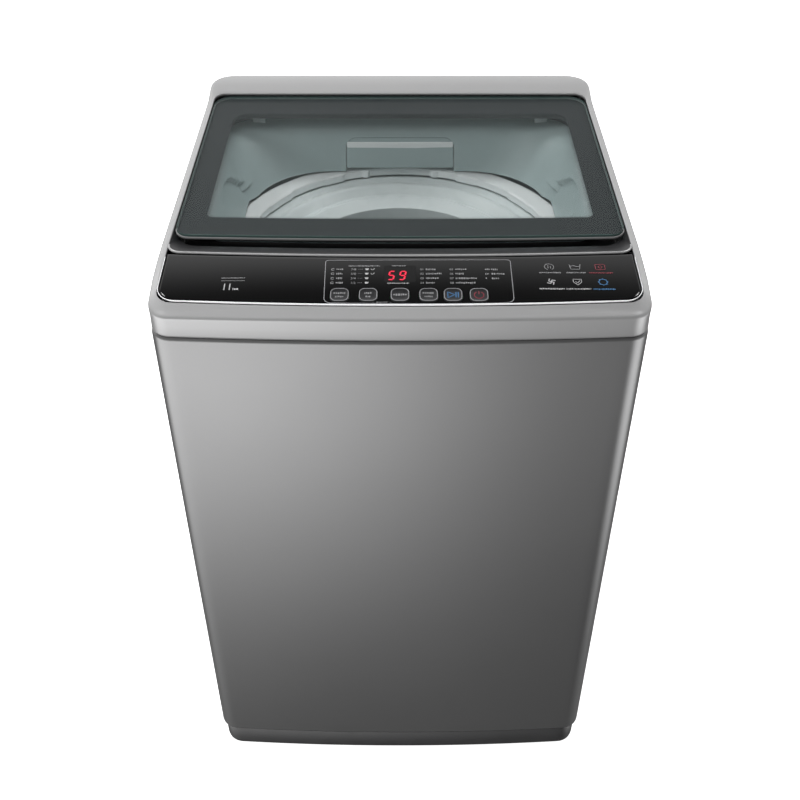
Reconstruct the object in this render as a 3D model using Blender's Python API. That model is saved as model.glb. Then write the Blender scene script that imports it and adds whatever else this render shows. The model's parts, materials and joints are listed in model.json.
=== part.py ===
"""Top load washing machine, modelled as an assembly of separate parts.

Metres, +Z up, +X to the machine's right as seen from the front, front towards -Y.
The origin is on the floor at the centre of the footprint. The wash tub turns about the Z axis.
"""

import math

import bmesh
import bpy
from mathutils import Matrix, Vector

# ---------------------------------------------------------------- driving dimensions
WIDTH = 0.600
HALF_WIDTH = WIDTH / 2
FRONT_Y = -0.3175  # apex of the bowed front
REAR_Y = 0.3025  # flat rear of the cabinet
STUB_Y = -FRONT_Y  # rearmost point, the end of the water inlet
FRONT_BOW = 0.010  # how far the front bulges between its corners
CORNER_FRONT = 0.028
CORNER_REAR = 0.014
CROWN_REAR = 0.034  # rear corners of the cover at the top
GAP = 0.0004  # between pieces that touch

BASE_BOTTOM_Z = 0.0115
BASE_TOP_Z = 0.0580
CABINET_TOP_Z = 0.8565
COVER_BOTTOM_Z = 0.8580
SHEET = 0.0008
COVER_WALL = 0.0025

# The top surface: a plane over the lid and a steeper one over the control panel.
LID_Z0 = 0.9191
LID_SLOPE = math.tan(math.radians(2.5))
BEAD_Y = -0.2124  # where the two planes meet
PANEL_SLOPE = 0.150
REAR_LIFT = 0.0105  # height of the rear bar's crown above the lid plane

RAIL_IN_X = 0.2893  # inner edge of the cover's side rails
PANEL_FRONT_Y = -0.2995
LIP_Y = 0.2485  # front lip of the rear bar

# Lid
GLASS = 0.0040
GLASS_X = 0.2875
GLASS_FRONT_Y = -0.1644
GLASS_BACK_Y = 0.2447
WINDOW_X = 0.2528
WINDOW_FRONT_Y = -0.1155
WINDOW_BACK_Y = 0.1918
HINGE_Y = 0.2265
HINGE_Z = 0.9210
HINGE_X = 0.2213
PIN_R = 0.0020

# Tub, basket and drive, all about the Z axis
TUB_R = 0.262
TUB_BOTTOM_Z = 0.2150
TUB_TOP_Z = 0.8000
RING_MOUTH_R = 0.2163
RING_MOUTH_Z = 0.8200
BASKET_R = 0.2440
DRUM_SHEET = 0.0007
BASKET_BOTTOM_Z = 0.2480
BASKET_TOP_Z = 0.7500
MOUTH_R = 0.1650  # opening of the balance ring
# Each vane of the wash plate: radius, bend in degrees, half width in millimetres and rise
VANE = ((0.034, 0, 8, 0.028), (0.080, 6, 9, 0.032), (0.120, 15, 7, 0.026), (0.156, 27, 4, 0.015))
ROD_X = 0.238
ROD_R = 0.0035
SPRING_BOTTOM_Z = 0.1560
LUG_Z = (0.2350, 0.2600)
MOTOR_X, MOTOR_Y = 0.120, -0.120
PULLEY_R = 0.0750
MOTOR_PULLEY_R = 0.0250
BELT_Z = 0.1000
DRAIN_Z = 0.0840

# Controls: x of each button's centre, left to right
BUTTON_X = {
    "process": -0.0715,
    "level": -0.0376,
    "program": 0.0,
    "speed": 0.0338,
    "start": 0.0627,
    "power": 0.0934,
}
BUTTON_Y = -0.2798
BUTTON_SIZE = 0.0228

# Detergent drawer in the rear wall of the collar
WALL_Y = 0.2045
DRAWER_X = 0.0850
DRAWER_Z = (0.8270, 0.8735)
DRAWER_BACK_Y = 0.2840

SIDES = ("left", "right")
ENDS = ("front", "rear")

# Colour (linear RGB), roughness and metallic of each material
MATERIALS = {
    "cabinet_paint": ((0.16, 0.16, 0.165), 0.38, 0.6),
    "silver_plastic": ((0.52, 0.52, 0.53), 0.35, 0.3),
    "gloss_black": ((0.010, 0.010, 0.011), 0.10, 0.0),
    "matte_black": ((0.028, 0.028, 0.030), 0.50, 0.0),
    "dark_plastic": ((0.055, 0.055, 0.058), 0.50, 0.0),
    "grey_plastic": ((0.55, 0.58, 0.58), 0.30, 0.0),
    "white_plastic": ((0.70, 0.72, 0.72), 0.35, 0.0),
    "chrome_trim": ((0.75, 0.75, 0.76), 0.15, 1.0),
    "glass": ((0.10, 0.16, 0.15), 0.03, 0.0),
    "stainless": ((0.62, 0.62, 0.63), 0.25, 1.0),
    "zinc_steel": ((0.48, 0.49, 0.50), 0.35, 1.0),
    "aluminium": ((0.58, 0.58, 0.59), 0.35, 1.0),
    "rubber": ((0.020, 0.020, 0.020), 0.75, 0.0),
    "board_green": ((0.02, 0.16, 0.06), 0.45, 0.0),
    "display_red": ((0.10, 0.004, 0.010), 0.12, 0.0),
    "button_grey": ((0.045, 0.045, 0.048), 0.28, 0.0),
}


# ---------------------------------------------------------------- shared tools
def material(name):
    """The named material, made on first use."""
    found = bpy.data.materials.get(name)
    if found:
        return found
    colour, roughness, metallic = MATERIALS[name]
    made = bpy.data.materials.new(name)
    made.use_nodes = True
    shader = made.node_tree.nodes["Principled BSDF"]
    shader.inputs["Base Color"].default_value = (*colour, 1.0)
    shader.inputs["Roughness"].default_value = roughness
    shader.inputs["Metallic"].default_value = metallic
    return made


def add_object(name, bm, material_name, helper=False):
    """An object made from bm, with its faces pointing out. A helper is a cutter or a part to be joined."""
    bmesh.ops.recalc_face_normals(bm, faces=bm.faces)
    mesh = bpy.data.meshes.new(name)
    bm.to_mesh(mesh)
    bm.free()
    mesh.shade_smooth()
    mesh.set_sharp_from_angle(angle=math.radians(32))
    obj = bpy.data.objects.new(name, mesh)
    obj.data.materials.append(material(material_name))
    bpy.context.scene.collection.objects.link(obj)
    if helper:
        obj.hide_render = True
        obj.display_type = "WIRE"
    return obj


def skin(rings, closed):
    """A solid skinned over rings of equally many points. It is closed into a loop, or capped at both ends."""
    bm = bmesh.new()
    loops = [[bm.verts.new(point) for point in ring] for ring in rings]
    pairs = list(zip(loops, loops[1:]))
    if closed:
        pairs.append((loops[-1], loops[0]))
    else:
        bm.faces.new(loops[0])
        bm.faces.new(loops[-1])
    count = len(loops[0])
    for low, high in pairs:
        for i in range(count):
            j = (i + 1) % count
            bm.faces.new((low[i], low[j], high[j], high[i]))
    return bm


def turned(profile, steps=32, centre=(0.0, 0.0), solid=False):
    """A shape turned about a vertical axis, from (radius, z) points. A solid's profile ends on the axis."""
    bm = bmesh.new()
    verts = [bm.verts.new((centre[0] + r, centre[1], z)) for r, z in profile]
    ends = zip(verts, verts[1:]) if solid else zip(verts, verts[1:] + verts[:1])
    edges = [bm.edges.new(pair) for pair in ends]
    bmesh.ops.spin(
        bm, geom=verts + edges, cent=(*centre, 0.0), axis=(0, 0, 1), angle=math.tau, steps=steps, use_merge=True
    )
    bmesh.ops.remove_doubles(bm, verts=bm.verts, dist=1e-6)
    return bm


def block(low, high, bevel=0.0):
    """A box between two corners, with its edges bevelled."""
    bm = bmesh.new()
    size = [b - a for a, b in zip(low, high)]
    middle = [(a + b) / 2 for a, b in zip(low, high)]
    bmesh.ops.create_cube(bm, size=1.0, matrix=Matrix.Translation(middle) @ Matrix.Diagonal((*size, 1.0)))
    if bevel:
        bmesh.ops.bevel(bm, geom=bm.edges[:], offset=bevel, segments=1, affect="EDGES")
    return bm


def rod(start, end, radius, steps=16):
    """A round bar between two points."""
    start, end = Vector(start), Vector(end)
    axis = end - start
    turn = Matrix.Translation((start + end) / 2) @ axis.to_track_quat("Z", "Y").to_matrix().to_4x4()
    bm = bmesh.new()
    bmesh.ops.create_cone(
        bm, cap_ends=True, segments=steps, radius1=radius, radius2=radius, depth=axis.length, matrix=turn
    )
    return bm


def prism(points, low, high):
    """A plan outline (x, y) pulled up from low to high."""
    return skin([[(x, y, z) for x, y in points] for z in (low, high)], closed=False)


def change(obj, other, operation):
    modifier = obj.modifiers.new(other.name, "BOOLEAN")
    modifier.operation = operation
    modifier.solver = "EXACT"
    modifier.object = other


def cut(obj, bm, name):
    """Cuts bm's shape out of obj."""
    change(obj, add_object(name, bm, "dark_plastic", helper=True), "DIFFERENCE")


def join(obj, bm, name):
    """Joins bm's shape to obj, which it overlaps."""
    change(obj, add_object(name, bm, "dark_plastic", helper=True), "UNION")


def arc(cx, cy, radius, start, end, steps):
    """Points on an arc, in degrees, both ends included."""
    angles = [math.radians(start + (end - start) * i / steps) for i in range(steps + 1)]
    return [(cx + radius * math.cos(a), cy + radius * math.sin(a)) for a in angles]


FRONT_STEPS, SIDE_STEPS, CORNER_STEPS = 8, 4, 5


def outline(half_width, front, back, r_front, r_back, bow=FRONT_BOW):
    """A plan outline, counter-clockwise: a bowed front, straight sides and rounded corners."""
    lean = math.atan(2 * bow * (half_width - r_front) / half_width**2)
    front_x = half_width - r_front + r_front * math.sin(lean)
    front_y = front + bow * (front_x / half_width) ** 2
    centre_y = front_y + r_front * math.cos(lean)
    points = []
    for i in range(1, FRONT_STEPS):
        x = front_x * (2 * i / FRONT_STEPS - 1)
        points.append((x, front + bow * (x / half_width) ** 2))
    points += arc(half_width - r_front, centre_y, r_front, -90 + math.degrees(lean), 0, CORNER_STEPS)
    side_end = back - r_back
    side = [centre_y + (side_end - centre_y) * i / SIDE_STEPS for i in range(1, SIDE_STEPS)]
    points += [(half_width, y) for y in side]
    points += arc(half_width - r_back, back - r_back, r_back, 0, 90, CORNER_STEPS)
    points.append((0.0, back))
    points += arc(-half_width + r_back, back - r_back, r_back, 90, 180, CORNER_STEPS)
    points += [(-half_width, y) for y in reversed(side)]
    points += arc(-half_width + r_front, centre_y, r_front, 180, 270 - math.degrees(lean), CORNER_STEPS)
    return points


def ring(points, height):
    """An outline lifted to a height, which is a number or a function of y."""
    return [(x, y, height(y) if callable(height) else height) for x, y in points]


def lid_z(y):
    return LID_Z0 + LID_SLOPE * y


def top_z(y):
    """The top surface over the lid and the control panel."""
    return lid_z(y) if y > BEAD_Y else lid_z(BEAD_Y) - PANEL_SLOPE * (BEAD_Y - y)


def ease(value, start, end):
    t = min(1.0, max(0.0, (value - start) / (end - start)))
    return t * t * (3 - 2 * t)


def rear_lift(y):
    """How far the rear bar's crown stands above the lid plane at y."""
    return REAR_LIFT * ease(y, 0.215, 0.285)


# ---------------------------------------------------------------- cabinet, base and feet
def cabinet_outline(inset=0.0):
    return outline(
        HALF_WIDTH - inset, FRONT_Y + inset, REAR_Y - inset, CORNER_FRONT - inset, CORNER_REAR - inset
    )


def build_cabinet():
    """A steel wrap: front and sides in one sheet, with rear flanges and four gussets that hold the rods."""
    flange_in, flange_y = 0.268, 0.2992

    def wrap(inset):
        half = HALF_WIDTH - inset
        front = outline(half, FRONT_Y + inset, REAR_Y, CORNER_FRONT - inset, CORNER_REAR)
        ahead = [p for p in front if p[1] < 0.10 and p[0] > 0]
        right = sorted(ahead, key=lambda p: math.atan2(p[1], p[0]))
        turn = CORNER_REAR
        right += arc(HALF_WIDTH - turn, flange_y - turn, turn - inset, 0, 90, 4)
        right.append((flange_in, flange_y - inset))
        left = [(-x, y) for x, y in reversed(right)]
        return left + [(0.0, FRONT_Y + inset)] + right

    section = wrap(0.0) + wrap(SHEET)[::-1]
    shell = add_object("cabinet_shell", prism(section, BASE_TOP_Z + 0.0008, CABINET_TOP_Z), "cabinet_paint")
    for sx in (-1, 1):
        for sy in (-1, 1):
            corners = sorted((sx * x for x in (0.214, HALF_WIDTH - SHEET / 2)))
            rows = sorted((sy * y for y in (0.214, 0.262)))
            plate = block((corners[0], rows[0], 0.826), (corners[1], rows[1], 0.829))
            join(shell, plate, f"gusset_{sx}_{sy}")
            hole = rod((sx * ROD_X, sy * ROD_X, 0.80), (sx * ROD_X, sy * ROD_X, 0.85), 0.0055, 12)
            cut(shell, hole, f"gusset_hole_{sx}_{sy}")


def build_rear_panel():
    """A pressed steel sheet with a raised field, and holes for the drain and the mains lead."""
    inner_y, edge_y, field_y = 0.2996, 0.3004, REAR_Y

    def rectangle(half, low, high, r, y):
        plan = arc(half - r, high - r, r, 0, 90, 3) + arc(-half + r, high - r, r, 90, 180, 3)
        plan += arc(-half + r, low + r, r, 180, 270, 3) + arc(half - r, low + r, r, 270, 360, 3)
        return [(x, y, z) for x, z in plan]

    low, high = BASE_TOP_Z + 0.0008, CABINET_TOP_Z
    foot = (0.255, low + 0.055, high - 0.045, 0.020)
    crown = (0.250, low + 0.060, high - 0.050, 0.016)
    sheet = field_y - edge_y
    rings = [
        rectangle(*crown, inner_y + sheet),
        rectangle(*foot, inner_y),
        rectangle(0.2870, low, high, 0.004, inner_y),
        rectangle(0.2870, low, high, 0.004, edge_y),
        rectangle(*foot, edge_y),
        rectangle(*crown, field_y),
    ]
    panel = add_object("rear_panel", skin(rings, closed=False), "zinc_steel")
    cut(panel, rod((-0.110, 0.28, DRAIN_Z), (-0.110, 0.32, DRAIN_Z), 0.0146, 20), "drain_hole")
    cut(panel, rod((0.215, 0.28, 0.165), (0.215, 0.32, 0.165), 0.0095, 20), "gland_hole")


FEET = {
    "foot_front_left": (-0.245, -0.250),
    "foot_front_right": (0.245, -0.250),
    "foot_rear_left": (-0.245, 0.240),
    "foot_rear_right": (0.245, 0.240),
}


def build_base():
    """A moulded base: an outer wall with a broad top flange, and a boss for each foot."""
    inset, wall, shelf = 0.0045, 0.003, 0.050
    outer = cabinet_outline(inset)
    inner = cabinet_outline(inset + wall)
    mouth = outline(
        HALF_WIDTH - shelf, FRONT_Y + shelf + 0.012, REAR_Y - shelf, 0.030, 0.030, bow=FRONT_BOW * 0.7
    )
    under = BASE_TOP_Z - 0.004
    rings = [
        ring(outer, BASE_BOTTOM_Z),
        ring(outer, BASE_TOP_Z),
        ring(mouth, BASE_TOP_Z),
        ring(mouth, under),
        ring(inner, under),
        ring(inner, BASE_BOTTOM_Z),
    ]
    base = add_object("base_frame", skin(rings, closed=True), "dark_plastic")
    for name, (x, y) in FEET.items():
        boss = rod((x, y, BASE_BOTTOM_Z), (x, y, under + 0.001), 0.0200, 20)
        join(base, boss, f"boss_{name}")
        cut(base, rod((x, y, 0.0), (x, y, 0.08), 0.0056, 12), f"boss_hole_{name}")


def build_feet():
    """Levelling feet: a rubber-faced pad on a threaded stem."""
    for name, (x, y) in FEET.items():
        stem = 0.0050
        profile = [
            (0.0, 0.0),
            (0.0190, 0.0),
            (0.0205, 0.0020),
            (0.0205, 0.0090),
            (0.0120, BASE_BOTTOM_Z - GAP),
            (stem, BASE_BOTTOM_Z - GAP),
            (stem, 0.0560),
            (0.0, 0.0560),
        ]
        add_object(name, turned(profile, steps=14, centre=(x, y), solid=True), "rubber")


# ---------------------------------------------------------------- top cover and lid surround
def cover_outline(inset=0.0, rear=CORNER_REAR):
    half = HALF_WIDTH - 0.0008 - inset
    return outline(half, FRONT_Y + 0.0008 + inset, REAR_Y - inset, CORNER_FRONT - inset * 0.6, rear)


def build_top_cover():
    """The silver cover: a skirt, narrow side rails, a rear bar and an opening between panel and bar."""
    mouth = outline(RAIL_IN_X, PANEL_FRONT_Y, LIP_Y, 0.018, 0.020)
    near = cover_outline(0.0035, CROWN_REAR)
    crown = [((a[0] + 2 * b[0]) / 3, (a[1] + 2 * b[1]) / 3) for a, b in zip(mouth, near)]
    wall = COVER_WALL

    def height(drop):
        return lambda y: top_z(y) + rear_lift(y) - drop

    rings = [
        ring(cover_outline(), COVER_BOTTOM_Z),
        ring(cover_outline(0.0, 0.026), height(0.0110)),
        ring(near, height(0.0035)),
        ring(crown, height(0.0)),
        ring(mouth, top_z),
        ring(mouth, lambda y: top_z(y) - 0.0030),
        ring(crown, height(wall + 0.0015)),
        ring(cover_outline(wall + 0.0015, 0.024), height(0.0130)),
        ring(cover_outline(wall, 0.012), COVER_BOTTOM_Z),
    ]
    cover = add_object("top_cover", skin(rings, closed=True), "silver_plastic")
    cut(cover, rod((0.205, 0.28, 0.892), (0.205, 0.32, 0.892), 0.0150, 24), "inlet_hole")


def lid_rim_z(y):
    """The rim where the lid surround meets the collar."""
    return lid_z(y) - 0.0296


def build_lid_surround():
    """The black gutter round the opening, with a ramp and a finger pocket in front."""
    rims = [
        # half width, front, back, front radius, rear radius, height
        (0.2889, -0.2095, 0.2520, 0.018, 0.030, lambda y: lid_z(y) - 0.0012 - 0.014 * ease(y, 0.20, 0.245)),
        (0.2868, -0.1712, 0.2505, 0.030, 0.028, lambda y: lid_z(y) - 0.0130 - 0.010 * ease(y, 0.20, 0.245)),
        (0.2860, -0.1692, 0.2495, 0.030, 0.028, lambda y: lid_z(y) - 0.0360),
        (0.2740, -0.1390, 0.2390, 0.030, 0.050, lambda y: lid_z(y) - 0.0360),
        (0.2706, -0.1326, 0.2346, 0.0425, 0.0585, lambda y: lid_rim_z(y) - 0.0006),
    ]
    wall = 0.0020
    top = [ring(outline(w, f, b, rf, rb, 0.007), z) for w, f, b, rf, rb, z in rims]
    # The underside is the same shape moved down, with the steep wall moved out at its foot.
    under = []
    for (w, f, b, rf, rb, z), out in zip(rims, (0.0, 0.0, 0.0012, 0.0, 0.0)):
        lower = outline(w + out, f - out, b + out, rf, rb, 0.007)
        under.append(ring(lower, lambda y, z=z: z(y) - wall))
    add_object("lid_surround", skin(top + under[::-1], closed=True), "matte_black")


def build_collar():
    """The light inner wall from the lid opening down to the tub, with an opening for the drawer."""
    wall = 0.0022
    levels = [
        # half width, front, back, front radius, rear radius, bow, height
        (0.2680, -0.1300, 0.2320, 0.040, 0.056, 0.007, lid_rim_z),
        (0.2440, -0.1310, 0.2110, 0.075, 0.105, 0.005, lambda y: 0.8700),
        (0.2220, -0.1320, WALL_Y, 0.095, 0.115, 0.003, lambda y: 0.8265),
    ]
    inner = [ring(outline(w, f, b, rf, rb, bow), z) for w, f, b, rf, rb, bow, z in levels]
    outer = []
    for (w, f, b, rf, rb, bow, z), drop in zip(levels, (wall, wall, 0.0)):
        shape = outline(w + wall, f - wall, b + wall, rf + wall, rb + wall, bow)
        outer.append(ring(shape, lambda y, z=z, drop=drop: z(y) - drop))
    collar = add_object("inner_collar", skin(inner + outer[::-1], closed=True), "grey_plastic")
    slot = block((-DRAWER_X - 0.0006, 0.17, 0.80), (DRAWER_X + 0.0006, 0.230, DRAWER_Z[1] + 0.0006))
    cut(collar, slot, "drawer_slot")
    for side, name in zip((-1, 1), SIDES):
        x = side * HINGE_X
        profile = arc(HINGE_Y, HINGE_Z, 0.0034, -30, 180, 7)
        profile += [(0.2225, 0.9050), (0.2235, 0.8900), (0.2262, 0.8885)]
        profile += [(0.2300, 0.8965), (0.2262, 0.9030), (0.2272, 0.9080)]
        ear = skin([[(x + dx, y, z) for y, z in profile] for dx in (-0.0095, 0.0095)], closed=False)
        join(collar, ear, f"hinge_ear_{name}")
        bore = rod((x - 0.02, HINGE_Y, HINGE_Z), (x + 0.02, HINGE_Y, HINGE_Z), PIN_R + GAP, 12)
        cut(collar, bore, f"ear_bore_{name}")


# ---------------------------------------------------------------- control panel
def panel_frame():
    """A matrix whose local XY plane is the panel's surface, with the origin at the buttons' row."""
    tilt = math.atan(PANEL_SLOPE)
    return Matrix.Translation((0.0, BUTTON_Y, top_z(BUTTON_Y))) @ Matrix.Rotation(tilt, 4, "X")


def rounded(half_x, half_y, r, steps=3, centre=(0.0, 0.0)):
    """A rectangle with round corners, about a centre."""
    cx, cy = centre
    x, y = half_x - r, half_y - r
    corners = [(cx + x, cy - y, -90), (cx + x, cy + y, 0), (cx - x, cy + y, 90), (cx - x, cy - y, 180)]
    return [p for px, py, a in corners for p in arc(px, py, r, a, a + 90, steps)]


def on_panel(bm):
    bm.transform(panel_frame())
    return bm


def panel_outline(inset):
    """The fascia's plan outline: bowed front and rear edges and round front corners."""
    front = outline(RAIL_IN_X - 0.0006 - inset, PANEL_FRONT_Y + 0.0006 + inset, 0.0, 0.0165, 0.005)
    half = RAIL_IN_X - 0.0006 - inset
    points = []
    for x, y in front:
        rear = BEAD_Y - 0.0012 - inset + 0.0085 * (x / half) ** 2
        points.append((x, y if y < -0.25 else rear))
    kept = []
    for point in points:
        if not kept or (Vector(point) - Vector(kept[-1])).length > 1e-5:
            kept.append(point)
    return kept


DISPLAY = {"centre": (0.0, 0.0455), "half": (0.0190, 0.0150)}


def build_fascia():
    """The glossy black plate, its bright trim, the display window and six buttons."""
    trim = 0.0022
    plate = panel_outline(trim)
    rings = [ring(plate, lambda y: top_z(y) - 0.0028), ring(plate, lambda y: top_z(y) - 0.0002)]
    fascia = add_object("control_fascia", skin(rings, closed=False), "gloss_black")
    for name, x in BUTTON_X.items():
        half = BUTTON_SIZE / 2 + 0.0005
        hole = prism(rounded(half, half, 0.0075, centre=(x, 0.0)), -0.010, 0.010)
        cut(fascia, on_panel(hole), f"hole_{name}")
    half_x, half_y = (v + 0.0004 for v in DISPLAY["half"])
    window = prism(rounded(half_x, half_y, 0.002, 1, DISPLAY["centre"]), -0.010, 0.010)
    cut(fascia, on_panel(window), "hole_display")

    outer, inner = panel_outline(0.0), panel_outline(trim - GAP)
    rings = [
        ring(outer, lambda y: top_z(y) - 0.0020),
        ring(outer, lambda y: top_z(y) + 0.0002),
        ring(inner, lambda y: top_z(y) + 0.0008),
        ring(inner, lambda y: top_z(y) - 0.0020),
    ]
    add_object("fascia_trim", skin(rings, closed=True), "chrome_trim")


def build_controls():
    """Buttons, display window, circuit board and its cover, all parallel to the panel."""
    half = BUTTON_SIZE / 2
    for name, x in BUTTON_X.items():
        foot = rounded(half, half, 0.0070, centre=(x, 0.0))
        cap = rounded(half - 0.0012, half - 0.0012, 0.0062, centre=(x, 0.0))
        rings = [
            [(px, py, z) for px, py in loop]
            for loop, z in ((foot, -0.0050), (foot, 0.0004), (cap, 0.0011))
        ]
        add_object(f"button_{name}", on_panel(skin(rings, closed=False)), "button_grey")
    window = prism(rounded(*DISPLAY["half"], 0.0018, 1, DISPLAY["centre"]), -0.0030, -0.0003)
    add_object("display_window", on_panel(window), "display_red")
    board = block((-0.125, -0.0125, -0.0098), (0.140, 0.0630, -0.0082))
    add_object("control_board", on_panel(board), "board_green")
    tray_outer = rounded(0.146, 0.0410, 0.006, 2, (0.0075, 0.0255))
    tray_inner = rounded(0.1440, 0.0390, 0.004, 2, (0.0075, 0.0255))
    rings = [
        [(x, y, z) for x, y in loop]
        for loop, z in (
            (tray_outer, -0.0190),
            (tray_outer, -0.0072),
            (tray_inner, -0.0072),
            (tray_inner, -0.0172),
        )
    ]
    add_object("board_tray", on_panel(skin(rings, closed=False)), "dark_plastic")


# ---------------------------------------------------------------- lid
def build_lid():
    """A glass pane on a plastic frame that turns on two pins at the rear."""
    pane = outline(GLASS_X, GLASS_FRONT_Y, GLASS_BACK_Y, 0.020, 0.026, 0.0055)
    rings = [ring(pane, lambda y: lid_z(y) - GLASS), ring(pane, lid_z)]
    add_object("lid_glass", skin(rings, closed=False), "glass")

    outer = outline(0.2800, -0.1575, 0.2385, 0.016, 0.022, 0.0055)
    inner = outline(WINDOW_X + 0.0030, WINDOW_FRONT_Y - 0.0030, WINDOW_BACK_Y + 0.0030, 0.012, 0.016, 0.0040)
    top, bottom = GLASS + GAP, 0.0140
    rings = [
        ring(outer, lambda y: lid_z(y) - bottom),
        ring(outer, lambda y: lid_z(y) - top),
        ring(inner, lambda y: lid_z(y) - top),
        ring(inner, lambda y: lid_z(y) - bottom),
    ]
    frame = add_object("lid_frame", skin(rings, closed=True), "matte_black")
    for side, name in zip((-1, 1), SIDES):
        x = side * HINGE_X
        notch = block((x - 0.0110, 0.2165, 0.90), (x + 0.0110, 0.2500, 0.9255))
        cut(frame, notch, f"hinge_notch_{name}")
        bore = rod((x - 0.0170, HINGE_Y, HINGE_Z), (x + 0.0170, HINGE_Y, HINGE_Z), PIN_R + GAP, 12)
        cut(frame, bore, f"hinge_bore_{name}")
        pin = rod((x - 0.0160, HINGE_Y, HINGE_Z), (x + 0.0160, HINGE_Y, HINGE_Z), PIN_R, 12)
        add_object(f"hinge_pin_{name}", pin, "zinc_steel")


# ---------------------------------------------------------------- tub, basket and pulsator
def build_tub():
    """The outer tub hangs from the rods by four lugs. A ring closes the gap above the basket."""
    wall = 0.0030
    r = TUB_R
    profile = [
        (0.0320, TUB_BOTTOM_Z),
        (r - 0.022, TUB_BOTTOM_Z),
        (r - 0.008, TUB_BOTTOM_Z + 0.014),
        (r, TUB_TOP_Z),
        (r + 0.0040, TUB_TOP_Z),
        (r + 0.0040, TUB_TOP_Z + 0.004),
        (r - wall, TUB_TOP_Z + 0.004),
        (r - 0.008 - wall, TUB_BOTTOM_Z + 0.016),
        (r - 0.023, TUB_BOTTOM_Z + wall),
        (0.0320, TUB_BOTTOM_Z + wall),
    ]
    tub = add_object("outer_tub", turned(profile), "white_plastic")
    for i in range(4):
        turn = Matrix.Rotation(math.radians(45 + 90 * i), 4, "Z")
        lug = block((r - 0.0095, -0.024, LUG_Z[0]), (0.3620, 0.024, LUG_Z[1]))
        lug.transform(turn)
        join(tub, lug, f"lug_{i}")
        x, y, _ = turn @ Vector((ROD_X * math.sqrt(2), 0, 0))
        cut(tub, rod((x, y, 0.20), (x, y, 0.30), 0.0060, 12), f"lug_hole_{i}")

    ring_profile = [
        (r + 0.0040, TUB_TOP_Z + 0.0043),
        (r + 0.0040, TUB_TOP_Z + 0.0075),
        (r - 0.0120, 0.8175),
        (RING_MOUTH_R + 0.0020, RING_MOUTH_Z),
        (RING_MOUTH_R, 0.8080),
        (RING_MOUTH_R + 0.0025, 0.8080),
        (RING_MOUTH_R + 0.0030, 0.8160),
        (r - 0.0140, 0.8130),
        (r - 0.0040, TUB_TOP_Z + 0.0043),
    ]
    add_object("tub_ring", turned(ring_profile), "white_plastic")


def build_basket():
    """The spin basket: a steel drum between a moulded base and a hollow balance ring."""
    r = BASKET_R
    drum = [
        (r - DRUM_SHEET, BASKET_BOTTOM_Z + 0.030),
        (r, BASKET_BOTTOM_Z + 0.030),
        (r, BASKET_TOP_Z),
        (r - DRUM_SHEET, BASKET_TOP_Z),
    ]
    add_object("basket_drum", turned(drum), "stainless")
    top = BASKET_TOP_Z
    balance = [
        (r + 0.0030, top - 0.012),
        (r + 0.0045, top + 0.030),
        (0.2380, top + 0.0480),
        (0.2180, top + 0.0560),
        (0.2080, top + 0.0500),
        (0.1925, top + 0.0585),
        (0.1790, top + 0.0440),
        (0.1680, top + 0.0450),
        (MOUTH_R, top + 0.0380),
        (MOUTH_R + 0.0020, top + 0.0160),
        (0.2200, top + 0.0030),
        (r - 0.0040, top + 0.0020),
        (r + 0.0003, top + 0.0020),
        (r + 0.0003, top - 0.012),
    ]
    add_object("balance_ring", turned(balance), "grey_plastic")
    low = BASKET_BOTTOM_Z
    base = [
        (0.0480, low),
        (r - 0.010, low),
        (r - 0.0020, low + 0.010),
        (r - 0.0016, low + 0.046),
        (r - 0.0060, low + 0.046),
        (r - 0.0080, low + 0.014),
        (0.1880, low + 0.006),
        (0.0480, low + 0.006),
    ]
    add_object("basket_base", turned(base), "grey_plastic")
    hub = [
        (0.0098, 0.1540),
        (0.0126, 0.1540),
        (0.0126, low - 0.014),
        (0.0220, low - 0.014),
        (0.0240, low - 0.0045),
        (0.0900, low - 0.0045),
        (0.0900, low - GAP),
        (0.0470, low - GAP),
        (0.0470, low + 0.0035),
        (0.0098, low + 0.0035),
    ]
    add_object("basket_hub", turned(hub, steps=24), "aluminium")
    for side, name in zip((-1, 1), SIDES):
        inner = r - DRUM_SHEET - GAP - 0.0010
        plan = arc(0, 0, inner, -9, 9, 4) + arc(0, 0, inner - 0.017, 7, -7, 4)
        body = prism([(side * x, y) for x, y in plan], 0.420, 0.610)
        add_object(f"lint_filter_{name}", body, "white_plastic")


def build_pulsator():
    """The pulsator: a dished disc with curved vanes, bolted to its own shaft inside the basket's."""
    low = BASKET_BOTTOM_Z + 0.0075
    dish = [
        (0.0, low),
        (0.1700, low),
        (0.1740, low + 0.0050),
        (0.1660, low + 0.0110),
        (0.1200, low + 0.0130),
        (0.0600, low + 0.0200),
        (0.0400, low + 0.0340),
        (0.0150, low + 0.0390),
        (0.0150, low + 0.0340),
        (0.0, low + 0.0340),
    ]
    disc = add_object("pulsator", turned(dish, steps=36, solid=True), "grey_plastic")
    vanes = 6
    for i in range(vanes):
        foot, crest = [], []
        for r, bend, half, rise in VANE:
            angle = math.radians(360 / vanes * i + bend)
            middle = Vector((r * math.cos(angle), r * math.sin(angle), 0))
            across = Vector((-math.sin(angle), math.cos(angle), 0)) * half / 1000
            sill = Vector((0, 0, low + 0.004))
            foot.append([middle - across + sill, middle + across + sill])
            crest.append(middle + Vector((0, 0, low + rise)))
        rings = [[a, b, top] for (a, b), top in zip(foot, crest)]
        join(disc, skin(rings, closed=False), f"vane_{i}")
    cut(disc, rod((0, 0, low - 0.01), (0, 0, low + 0.0235), 0.0096, 16), "shaft_socket")
    bolt = [(0.0, low + 0.0344), (0.0120, low + 0.0344), (0.0120, low + 0.0375), (0.0090, low + 0.0400)]
    add_object("pulsator_bolt", turned([*bolt, (0.0, low + 0.0400)], steps=16, solid=True), "stainless")
    add_object("pulsator_shaft", rod((0, 0, 0.1560), (0, 0, low + 0.0225), 0.0092), "zinc_steel")


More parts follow.
